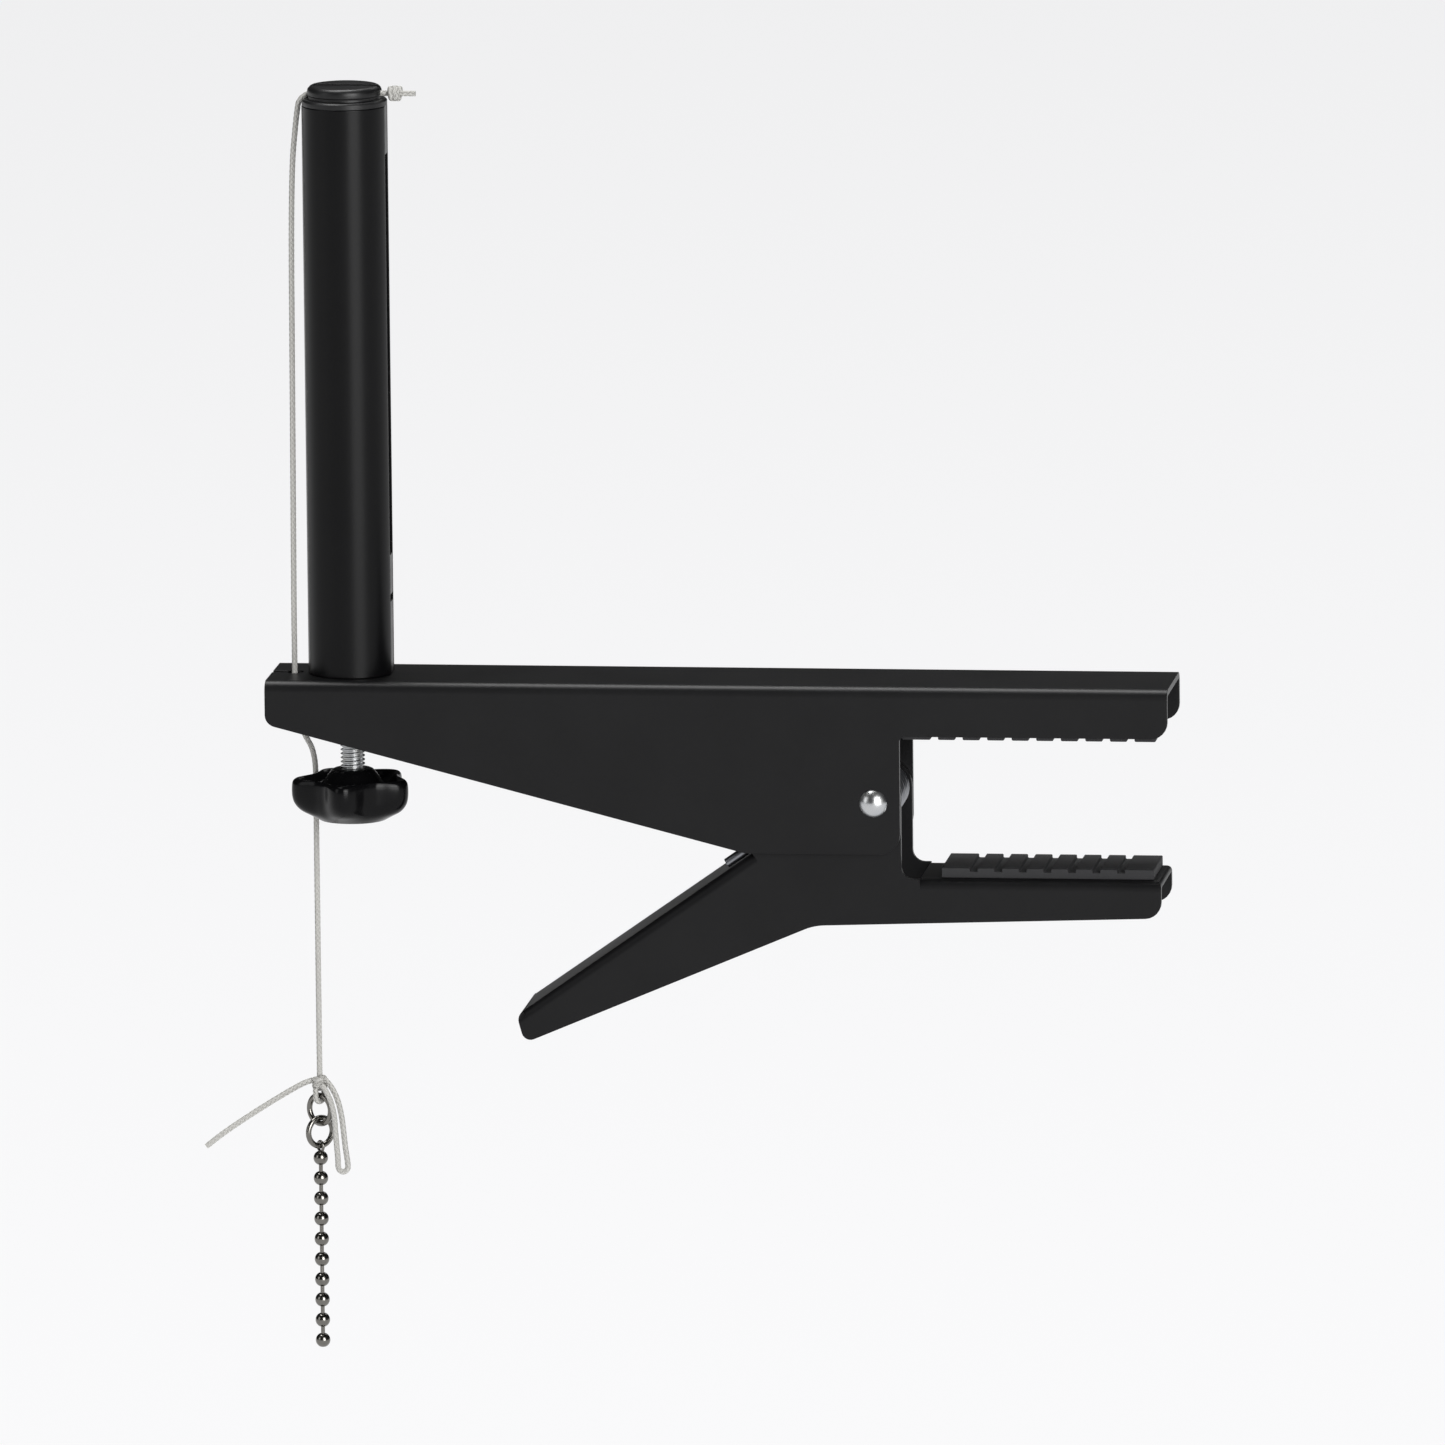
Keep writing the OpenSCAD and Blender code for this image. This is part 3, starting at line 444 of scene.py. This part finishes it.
edged_copy("post_guide", 0.3, moulded_black, "clamp")
edged_copy("guide_screws", 0.1, zinc, "clamp")
edged_copy("hex_nut", 0.25, zinc, "clamp")

# ---------- Post ----------
# An extruded aluminium tube with a slot down its inner side, which the net runs out of. Its gloss
# black lacquer is smooth, with the die's lines just showing along it.

lacquer, tree, shader, place = start_material("gloss_black_lacquer_on_aluminium", {
    "IOR": 1.5, "Specular IOR Level": 0.15})
long_way = add(tree, "ShaderNodeMapping", {"Vector": place, "Scale": (1, 1, 0.02)})
lines = add(tree, "ShaderNodeTexNoise", {"Vector": long_way.outputs[0], "Scale": per(0.7), "Detail": 2})
cloud, tone = mottle(tree, place, 12, "#060607", "#0a0a0b", detail=2)
dull = add(tree, "ShaderNodeMapRange", {"Value": cloud, "To Min": 0.26, "To Max": 0.33})
skin = add(tree, "ShaderNodeBump", {"Height": lines.outputs[0], "Strength": 0.12, "Distance": 0.03 * MM})
feed(tree, shader, Base_Color=tone, Roughness=dull.outputs[0], Normal=skin.outputs[0])

edged_copy("post_tube", 0.3, lacquer, "post")

# ---------- Thrust plug and washer ----------
# A moulded black plug pressed into the post's foot, and a bronze washer under it. The screw's
# shoulder pushes the washer up against the plug, and so lifts the post.

bronze, tree, shader, place = start_material("plain_bronze", {"Metallic": 1.0})
cloud, tone = mottle(tree, place, 2, "#b78f4b", "#c9a562", detail=4)
dull = add(tree, "ShaderNodeMapRange", {"Value": cloud, "To Min": 0.3, "To Max": 0.45})
feed(tree, shader, Base_Color=tone, Roughness=dull.outputs[0])

edged_copy("thrust_plug", 0.25, moulded_black, "post")
edged_copy("thrust_washer", 0.12, bronze, "post")

# ---------- Adjusting screw ----------
# An M6 screw that stands in the guide's nut, with a plain top end in the plug and a snap clip
# above it. Its rolled thread has a 1 mm pitch, so one turn of the knob lifts the post 1 mm.

POST_X = -137.5
SCREW_R, JOURNAL_R, THREAD_ROOT_R, SCREW_PITCH = 3, 2.4, 2.42, 1
HEAD_Z, HEAD_H, HEX_R = -21.6, 4, 5.785
SHOULDER_Z, CLIP_Z, CLIP_T, SCREW_TOP = 31.7, 42.54, 0.8, 44.74
CLIP_GROOVE_R = 1.9
THREAD_FROM, THREAD_TO, THREAD_STEPS = -12.6, SHOULDER_Z - 0.7, 30
SHANK_SIDES = 48
# the thread's section, as radius and height: a ridge that is flat on top and sunk into the shank
THREAD_RIDGE = [
    (THREAD_ROOT_R - 0.1, -0.46), (SCREW_R, -0.08), (SCREW_R, 0.08), (THREAD_ROOT_R - 0.1, 0.46)]


def lathe(bm, profile, segments):
    """The (radius, height) points spun round Z; a profile that ends on the axis closes there."""
    before = set(bm.verts)
    verts = [bm.verts.new((r, 0, z)) for r, z in profile]
    edges = [bm.edges.new(pair) for pair in zip(verts, verts[1:])]
    if profile[0][0] and profile[-1][0]:
        edges.append(bm.edges.new((verts[-1], verts[0])))
    bmesh.ops.spin(bm, geom=verts + edges, cent=(0, 0, 0), axis=(0, 0, 1), dvec=(0, 0, 0),
                   angle=2 * pi, steps=segments, use_merge=True, use_duplicate=False)
    made = [v for v in bm.verts if v not in before]
    bmesh.ops.remove_doubles(bm, verts=made, dist=1e-5)
    made = [v for v in bm.verts if v not in before]
    bmesh.ops.recalc_face_normals(bm, faces=list({f for v in made for f in v.link_faces}))
    return made


bm = bmesh.new()
lathe(bm, [
    (0, HEAD_Z + 2), (THREAD_ROOT_R, HEAD_Z + 2), (THREAD_ROOT_R, SHOULDER_Z - 0.3),
    (JOURNAL_R + 0.02, SHOULDER_Z), (JOURNAL_R, SHOULDER_Z), (JOURNAL_R, CLIP_Z),
    (CLIP_GROOVE_R, CLIP_Z), (CLIP_GROOVE_R, CLIP_Z + CLIP_T + 0.1),
    (JOURNAL_R, CLIP_Z + CLIP_T + 0.1), (JOURNAL_R, SCREW_TOP - 0.6),
    (JOURNAL_R - 0.6, SCREW_TOP), (0, SCREW_TOP)], SHANK_SIDES)
turns = (THREAD_TO - THREAD_FROM) / SCREW_PITCH
ridge = [bm.verts.new((r, 0, THREAD_FROM + z)) for r, z in THREAD_RIDGE]
section = bm.faces.new(ridge)
steps = int(turns * THREAD_STEPS)
bmesh.ops.spin(bm, geom=[section, *section.edges, *ridge], cent=(0, 0, 0), axis=(0, 0, 1),
               dvec=(0, 0, (THREAD_TO - THREAD_FROM) / steps), angle=2 * pi * turns, steps=steps,
               use_merge=False, use_duplicate=False)
head = bmesh.ops.create_cone(bm, cap_ends=True, segments=6, radius1=HEX_R, radius2=HEX_R, depth=HEAD_H)
bmesh.ops.translate(bm, verts=head["verts"], vec=(0, 0, HEAD_Z + HEAD_H / 2))
rims = list({e for v in head["verts"] for e in v.link_edges})
bmesh.ops.bevel(bm, geom=rims, offset=0.25, offset_type="OFFSET", affect="EDGES", segments=2,
                profile=0.5, material=-1)
bmesh.ops.recalc_face_normals(bm, faces=bm.faces)
to_metres(bm, (POST_X, 0, 0))
smooth_by_angle(bm)
finish_piece("adjusting_screw_piece", bm, zinc, "knob", "adjusting_screw")
edged_copy("screw_clip", 0.1, spring_wire, "knob")

# ---------- Knob ----------
# The five-lobed knob below the arm, moulded in gloss black plastic with a short conical boss, and
# pressed over the screw's hexagon head. A shallow domed cover snaps in below and hides the head.

KNOB_R, KNOB_Z, BOSS_TOP, KNOB_FOOT = 15, -12.8, 2.1, -10.4
COVER_R, COVER_SEAT = 7, -9.2
LOBES, LOBE_TURN, LOBE_SHARPNESS = 5, radians(194), 1.4
KNOB_SIDES, SKIN_STEPS = 160, 4
# radius, height above the lobes' top, and how deep the gaps between the lobes are
KNOB_SKIN = [
    (COVER_R + 1.2, KNOB_FOOT, 0), (0.7 * KNOB_R, -9.2, 0.06), (0.86 * KNOB_R, -7.9, 0.16),
    (0.96 * KNOB_R, -6.2, 0.22), (KNOB_R, -4.2, 0.25), (KNOB_R, -1.5, 0.25),
    (0.97 * KNOB_R, -0.4, 0.24),
    (0.91 * KNOB_R, 0, 0.21), (0.84 * KNOB_R, -0.5, 0.17), (0.74 * KNOB_R, -1.8, 0.1),
    (0.63 * KNOB_R, -2.4, 0.04), (0.51 * KNOB_R, -1.4, 0), (0.43 * KNOB_R, 0.1, 0),
    (0.37 * KNOB_R, 1.3, 0), (0.33 * KNOB_R, 1.9, 0),
]
# the boss's rim, the bore, the pocket for the screw's head and the seat of the cover
KNOB_INSIDE = [
    (0.3 * KNOB_R, BOSS_TOP, 0), (3.25, BOSS_TOP, 0), (3.05, BOSS_TOP - 0.2, 0), (3.05, -4.8, 0),
    (5.9, -4.8, 0), (5.9, COVER_SEAT, 0), (COVER_R, COVER_SEAT, 0), (COVER_R, KNOB_FOOT + 0.2, 0),
    (COVER_R + 0.2, KNOB_FOOT, 0),
]


def smooth(points, steps):
    """Points on a smooth curve through the given ones, in so many steps from each to the next."""
    out = []
    for i in range(len(points) - 1):
        a, b, c, d = (Vector(points[j]) for j in (max(i - 1, 0), i, i + 1, min(i + 2, len(points) - 1)))
        for k in range(steps):
            t = k / steps
            out.append(0.5 * (2 * b + (c - a) * t + (2 * a - 5 * b + 4 * c - d) * t ** 2
                              + (3 * b - a - 3 * c + d) * t ** 3))
    return out + [Vector(points[-1])]


rows = [tuple(p) for p in smooth(KNOB_SKIN, SKIN_STEPS)] + KNOB_INSIDE
bm = bmesh.new()
turn = bm.verts.layers.float.new("turn")
verts = bmesh.ops.create_circle(bm, cap_ends=False, radius=1, segments=KNOB_SIDES)["verts"]
for v in verts:
    v[turn] = atan2(v.co.y, v.co.x)
first = edges = list({e for v in verts for e in v.link_edges})
for i, (radius, height, gap) in enumerate(rows):
    if i:
        verts, edges = next_ring(bm, edges)
    for v in verts:
        lobe = ((1 + cos(LOBES * v[turn])) / 2) ** LOBE_SHARPNESS
        r = radius * (1 - max(gap, 0) * (1 - lobe))
        v.co = (r * cos(v[turn] + LOBE_TURN), r * sin(v[turn] + LOBE_TURN), height)
bmesh.ops.bridge_loops(bm, edges=edges + first)
bmesh.ops.recalc_face_normals(bm, faces=bm.faces)
to_metres(bm, (POST_X, 0, KNOB_Z))
smooth_by_angle(bm)

# Gloss moulded plastic: a deep black with fine scuffs from fingers
gloss_black, tree, shader, place = start_material("moulded_black_plastic_gloss", {
    "IOR": 1.53, "Specular IOR Level": 0.12})
cloud, tone = mottle(tree, place, 7, "#070708", "#0b0b0c")
dull = add(tree, "ShaderNodeMapRange", {"Value": cloud, "To Min": 0.16, "To Max": 0.24})
scuffs = add(tree, "ShaderNodeTexNoise", {"Vector": place, "Scale": per(0.8), "Detail": 4})
skin = add(tree, "ShaderNodeBump", {"Height": scuffs.outputs[0], "Strength": 0.12, "Distance": 0.02 * MM})
feed(tree, shader, Base_Color=tone, Roughness=dull.outputs[0], Normal=skin.outputs[0])
finish_piece("knob_piece", bm, gloss_black, "knob", "knob")

# the cover's domed outside, its rounded rim and its flat back, from the knob's foot
COVER_DOME_R, COVER_CROWN, COVER_BACK, DOME_STEPS, COVER_SIDES = 28, 1, 1.1, 8, 64
cover_rim = COVER_R - 0.05
profile = [(0, -COVER_CROWN)]
for i in range(1, DOME_STEPS + 1):
    x = (cover_rim - 0.25) * i / DOME_STEPS
    profile.append((x, COVER_DOME_R - COVER_CROWN - sqrt(COVER_DOME_R ** 2 - x * x)))
rim_z = profile[-1][1]
profile += [(cover_rim - 0.07, rim_z + 0.12), (cover_rim, rim_z + 0.3),
            (cover_rim, COVER_BACK), (0, COVER_BACK)]
bm = bmesh.new()
lathe(bm, profile, COVER_SIDES)
to_metres(bm, (POST_X, 0, KNOB_Z + KNOB_FOOT))
smooth_by_angle(bm)
finish_piece("knob_cover_piece", bm, gloss_black, "knob", "knob_cover")

# ---------- Post cap ----------
# A moulded cap whose stem is pushed into the post's top. A groove over it, with a rounded outer
# edge, leads the cord from the net over the post and down outside it.

edged_copy("post_cap", 0.18, moulded_black, "post")

# ---------- Net cord ----------
# A white braided polyester cord, 1.4 mm thick, that tightens the net: from its knot at the cap over
# the post, taut down its outer side, through the bracket's eye and past the knob to the chain.

CORD_R, CORD_SIDES, CORD_STEP = 0.7, 20, 0.26
CURVE_STEPS = 12                       # points on a smooth curve from one given point to the next
POST_D, POST_LENGTH = 21, 140
TUBE_TOP = WEB_H + POST_LENGTH
STOPPER_X = POST_D / 2 - 0.05
CAP_RISE = 2.8                         # the cord's height over the post's end, in the cap's groove
KNOT_DROP, KNOT_STEP = 104.2, 1.3
KNOT_HALF = KNOT_STEP + CORD_R
EYE_AT = Vector((-POST_D / 2 - 3.5, 0))
HANG_TURN = radians(131.5)             # where the cord passes the knob's rim
HANG = Vector((cos(HANG_TURN), sin(HANG_TURN))) * (KNOB_R + 1.4)
KNOT_AT = Vector((POST_X + HANG.x, HANG.y, WEB_H - KNOT_DROP))
BRAID_STRANDS, BRAID_LAY, BRAID_DEPTH = 4, 1.3, 0.13       # strands each way, and millimetres

# its own route: over the cap, down round the cap's edge, beside the post, round the knob and down
over_cap = [(STOPPER_X, 0, CAP_RISE), (5, 0, CAP_RISE), (-2, 0, CAP_RISE)]
bend = [(-3.2, CAP_RISE), (-0.9, 2.2), (0.6, 0.7), (1.1, -1.4)]
run = [(1.7, 0.955), (2.4, 0.9), (2.8, 0.82), (3, 0.72), (3.1, 0.6), (3.2, 0.48), (3.3, 0.36),
       (3.4, 0.24), (3.5, 0.12), (3.5, 0.04)]
round_knob = [(0, -3), (0.01, -9.2), (0.2, -13.4), (0.51, -17), (0.82, -20.6), (0.97, -24.4), (1, -29)]
hanging = [-36, -48, -62, -76, -88, -KNOT_DROP + KNOT_HALF]
route = [(POST_X + x, y, TUBE_TOP + z) for x, y, z in over_cap]
route += [(POST_X - POST_D / 2 - out, 0, TUBE_TOP + z) for out, z in bend]
route += [(POST_X - POST_D / 2 - out, 0, WEB_H + share * POST_LENGTH) for out, share in run]
for share, z in round_knob:
    at = EYE_AT.lerp(HANG, share)
    route.append((POST_X + at.x, at.y, WEB_H + z))
route += [(POST_X + HANG.x, HANG.y, WEB_H + z) for z in hanging]


def evenly(points):
    """Points an even step apart along the line through the given ones, ends included."""
    lengths = [(b - a).length for a, b in zip(points, points[1:])]
    count = max(2, round(sum(lengths) / CORD_STEP))
    step, out, i, used = sum(lengths) / count, [points[0]], 0, 0.0
    for k in range(1, count):
        want = k * step
        while used + lengths[i] < want:
            used += lengths[i]
            i += 1
        out.append(points[i].lerp(points[i + 1], (want - used) / lengths[i]))
    return out + [points[-1]]


def braided(bm, line):
    """A braided cord along the line, in millimetres: two sets of strands pass over and under each
    other, and the layer dip says how deep a point lies between them."""
    before = set(bm.verts)
    dip = bm.verts.layers.float.get("dip") or bm.verts.layers.float.new("dip")
    sweep(bm, line, CORD_R, CORD_SIDES)
    turn, along = bm.verts.layers.float["turn"], bm.verts.layers.float["along"]
    bm.normal_update()
    for v in bm.verts:
        if v in before:
            continue
        u, w = v[turn] * BRAID_STRANDS / (2 * pi), v[along] / BRAID_LAY
        a, b = u + w, u - w
        over = a if (floor(a) + floor(b)) % 2 == 0 else b
        crown = sqrt(max(0.0, 1 - (2 * (over - floor(over)) - 1) ** 2))
        v[dip] = 1 - crown
        v.co -= v.normal * BRAID_DEPTH * (1 - crown)


# Braided polyester: matt white yarn drawn light grey as a painted shade, and darker still where the strands
# cross under, as painted shade in the braid's hollows
cord_yarn, tree, shader, place = start_material("braided_polyester_cord", {
    "IOR": 1.5, "Roughness": 0.8})
between = add(tree, "ShaderNodeAttribute", attribute_name="dip")
fibre = add(tree, "ShaderNodeTexNoise", {"Vector": place, "Scale": per(0.35), "Detail": 3})
# painted shade: the colour goes from the light grey of the shaded white yarn to a deeper grey where the
# braid dips between strands
painted_crevice_shade = add(tree, "ShaderNodeMapRange", {
    "Value": between.outputs["Fac"], "From Min": 0.15, "From Max": 0.9})
tone = add(tree, "ShaderNodeMix", {
    "Factor": painted_crevice_shade.outputs[0], MIX_A: linear("#aeada9"), MIX_B: linear("#6c6b66")}, data_type="RGBA")
skin = add(tree, "ShaderNodeBump", {"Height": fibre.outputs[0], "Strength": 0.4, "Distance": 0.06 * MM})
feed(tree, shader, Base_Color=tone.outputs[MIX_OUT], Normal=skin.outputs[0])


def cord_piece(node, lines):
    """The braided lines as one piece of cord on the post, which stands for its CAD node."""
    bm = bmesh.new()
    for line in lines:
        braided(bm, line)
    to_metres(bm)
    smooth_by_angle(bm, 60)
    return finish_piece(node + "_piece", bm, cord_yarn, "post", node)


cord_line = evenly(smooth(route, CURVE_STEPS))
net_cord = cord_piece("net_cord", [cord_line])

# ---------- Stopper knot ----------
# The knot at the cap's net side: three wraps of the cord drawn tight round itself, with a short
# end. It stands for the cord's run on into the net's top tape.

WRAP_R, WRAP_TURNS, WRAP_START, WRAP_STEPS = CORD_R + 0.55, 3.3, -0.15, 120
WRAP_ENDS, END_R = 0.08, 0.45          # shares of the winding drawn in at each end, and of its radius
STOPPER_END = 3
UP, OUT_X = Vector((0, 0, 1)), Vector((1, 0, 0))


def wraps(centre, axis, across):
    """The line of a cord wound three times round its own run, drawn in at both ends."""
    third = axis.cross(across)
    line = []
    for i in range(WRAP_STEPS + 1):
        t = i / WRAP_STEPS
        angle = 2 * pi * (WRAP_TURNS * t + WRAP_START)
        drawn_in = min(1, t / WRAP_ENDS, (1 - t) / WRAP_ENDS)
        r = WRAP_R * (END_R + (1 - END_R) * sin(drawn_in * pi / 2))
        around = across * cos(angle) + third * sin(angle)
        line.append(centre + axis * ((2 * t - 1) * KNOT_STEP) + around * r)
    return evenly(line)


stopper_at = Vector((POST_X + STOPPER_X + KNOT_HALF, 0, TUBE_TOP + CAP_RISE))
through = [stopper_at + OUT_X * s for s in (-KNOT_HALF, 0, KNOT_HALF, KNOT_HALF + STOPPER_END)]
stopper_knot = cord_piece("stopper_knot", [wraps(stopper_at, OUT_X, UP), evenly(through)])

# ---------- Chain knot ----------
# The knot above the chain is tied the same way. The cord comes out below it as an eye that holds
# the first ring, and its spare length leaves as a bare tail and a small bow.

RING_WIRE_R, EYE_DROP, EYE_STEPS = 0.7, 3.2, 24
TOP_RING_TURN, LOW_RING_TURN = radians(-35), radians(42)
eye_loop_r = CORD_R + RING_WIRE_R + 0.1
eye_top = -KNOT_HALF + 0.9             # inside the knot
eye_points = [(0, -eye_loop_r, eye_top), (0, -eye_loop_r, -EYE_DROP)]
for i in range(1, EYE_STEPS + 1):
    a = pi * i / EYE_STEPS
    eye_points.append((0, -eye_loop_r * cos(a), -EYE_DROP - eye_loop_r * sin(a)))
eye_points.append((0, eye_loop_r, eye_top))
with_ring = Matrix.Rotation(TOP_RING_TURN, 3, "Z")
eye_line = [KNOT_AT + with_ring @ Vector(p) for p in eye_points]
core_line = [KNOT_AT + UP * s for s in (KNOT_HALF, 0, -KNOT_HALF)]
chain_knot = cord_piece("chain_knot", [wraps(KNOT_AT, UP, OUT_X), evenly(core_line), evenly(eye_line)])

# from the knot's middle
tail_points = [(-1.85, 0, 0.6), (-4.4, 0, -0.4), (-8.4, 0.2, -2.7), (-12.6, 0.4, -5.3),
               (-16.8, 0.4, -8), (-21, 0.3, -10.8), (-25.2, 0, -13.8), (-28.2, -0.2, -16.2)]
bow_points = [(1.55, -1.1, 0.9), (3.2, -2.4, -0.7), (4.7, -3.3, -3.4), (5.7, -3.6, -7.2),
              (6.2, -3.6, -11.2), (6.6, -3.6, -15.2), (7.05, -3.6, -18.4), (7.2, -3.6, -20.2),
              (6.85, -3.6, -21.1), (6, -3.6, -21.5), (5.15, -3.6, -21.1), (4.8, -3.6, -20.2),
              (4.75, -3.6, -18.4), (4.5, -3.6, -15), (4.2, -3.6, -11.4), (3.95, -3.7, -7.6),
              (3.1, -3.6, -4), (1.9, -3, -1.6), (0.9, -2.1, -0.4)]
tail_line = evenly(smooth([KNOT_AT + Vector(p) for p in tail_points], CURVE_STEPS))
bow_line = evenly(smooth([KNOT_AT + Vector(p) for p in bow_points], CURVE_STEPS))
cord_tail = cord_piece("cord_tail", [tail_line])
cord_bow = cord_piece("cord_bow", [bow_line])

# ---------- Rings and bead chain ----------
# Two small wire rings join the cord's eye to a chain of ten hollow beads, which is the handle to
# pull the net tight by and hook into the net. Rings, beads and links are nickel plated.

RING_R, LINK_R, LINK_WIRE_R, LINK_GAP = 3.5, 1.2, 0.35, 0.05
RING_STEPS = 56
BEAD_R, BEAD_PITCH, BEAD_COUNT, BEAD_STEPS, BEAD_SIDES = 1.8, 5.05, 10, 14, 32
MOUTH_R = 0.78                         # the hole at each end of a bead, rolled in round the rod
ROD_R, ROD_IN, ROD_SIDES = 0.5, 0.6, 20
top_ring_z = -EYE_DROP - RING_R
low_ring_z = top_ring_z - 2 * RING_R + 2 * RING_WIRE_R + LINK_GAP
link_z = low_ring_z - RING_R + RING_WIRE_R + LINK_WIRE_R + LINK_GAP - LINK_R
first_bead_z = link_z - LINK_R - BEAD_R + 0.1

nickel, tree, shader, place = start_material("nickel_plate_on_steel", {"Metallic": 1.0})
cloud, tone = mottle(tree, place, 2.2, "#6c6a66", "#86847f", detail=4)
dull = add(tree, "ShaderNodeMapRange", {"Value": cloud, "From Min": 0.3, "From Max": 0.7,
                                        "To Min": 0.14, "To Max": 0.26})
grain = add(tree, "ShaderNodeTexNoise", {"Vector": place, "Scale": per(0.4), "Detail": 3})
skin = add(tree, "ShaderNodeBump", {"Height": grain.outputs[0], "Strength": 0.12, "Distance": 0.02 * MM})
feed(tree, shader, Base_Color=tone, Roughness=dull.outputs[0], Normal=skin.outputs[0])


def wire_ring(bm, ring_r, wire_r, z, turn_about_z):
    """A closed ring of round wire that stands upright below the knot."""
    before = set(bm.verts)
    circle = bmesh.ops.create_circle(bm, cap_ends=False, radius=wire_r, segments=WIRE_SIDES)["verts"]
    bmesh.ops.translate(bm, verts=circle, vec=(ring_r, 0, 0))
    around = list({e for v in circle for e in v.link_edges})
    bmesh.ops.rotate(bm, verts=circle, cent=(ring_r, 0, 0), matrix=Matrix.Rotation(pi / 2, 3, "X"))
    bmesh.ops.spin(bm, geom=circle + around, cent=(0, 0, 0), axis=(0, 0, 1), dvec=(0, 0, 0),
                   angle=2 * pi, steps=RING_STEPS, use_merge=True, use_duplicate=False)
    made = [v for v in bm.verts if v not in before]
    upright = Matrix.Rotation(turn_about_z, 4, "Z") @ Matrix.Rotation(pi / 2, 4, "X")
    bmesh.ops.transform(bm, matrix=Matrix.Translation(KNOT_AT + UP * z) @ upright, verts=made)


bm = bmesh.new()
wire_ring(bm, RING_R, RING_WIRE_R, top_ring_z, TOP_RING_TURN)
wire_ring(bm, RING_R, RING_WIRE_R, low_ring_z, LOW_RING_TURN)
bmesh.ops.recalc_face_normals(bm, faces=bm.faces)
to_metres(bm)
smooth_by_angle(bm, 60)
chain_rings = finish_piece("chain_rings_piece", bm, nickel, "post", "chain_rings")

# a bead's section: its lower mouth, which is rolled in and closed, the ball, and the upper mouth
lower_mouth = [(0, -BEAD_R + 0.45), (0.6, -BEAD_R + 0.4), (MOUTH_R - 0.06, -BEAD_R + 0.22)]
mouth_turn = asin(MOUTH_R / BEAD_R)
bead = list(lower_mouth)
for i in range(BEAD_STEPS + 1):
    a = -pi / 2 + mouth_turn + (pi - 2 * mouth_turn) * i / BEAD_STEPS
    bead.append((BEAD_R * cos(a), BEAD_R * sin(a)))
bead += [(r, -z) for r, z in reversed(lower_mouth)]
rod_half = BEAD_PITCH / 2 - BEAD_R + ROD_IN
rod = [(0, -rod_half), (ROD_R, -rod_half), (ROD_R, rod_half), (0, rod_half)]
bm = bmesh.new()
wire_ring(bm, LINK_R, LINK_WIRE_R, link_z, LOW_RING_TURN + pi / 2)
for i in range(BEAD_COUNT):
    at = KNOT_AT + UP * (first_bead_z - i * BEAD_PITCH)
    bmesh.ops.translate(bm, verts=lathe(bm, bead, BEAD_SIDES), vec=at)
    if i:
        bmesh.ops.translate(bm, verts=lathe(bm, rod, ROD_SIDES), vec=at + UP * BEAD_PITCH / 2)
bmesh.ops.recalc_face_normals(bm, faces=bm.faces)
to_metres(bm)
smooth_by_angle(bm, 40)
finish_piece("bead_chain_piece", bm, nickel, "post", "bead_chain")
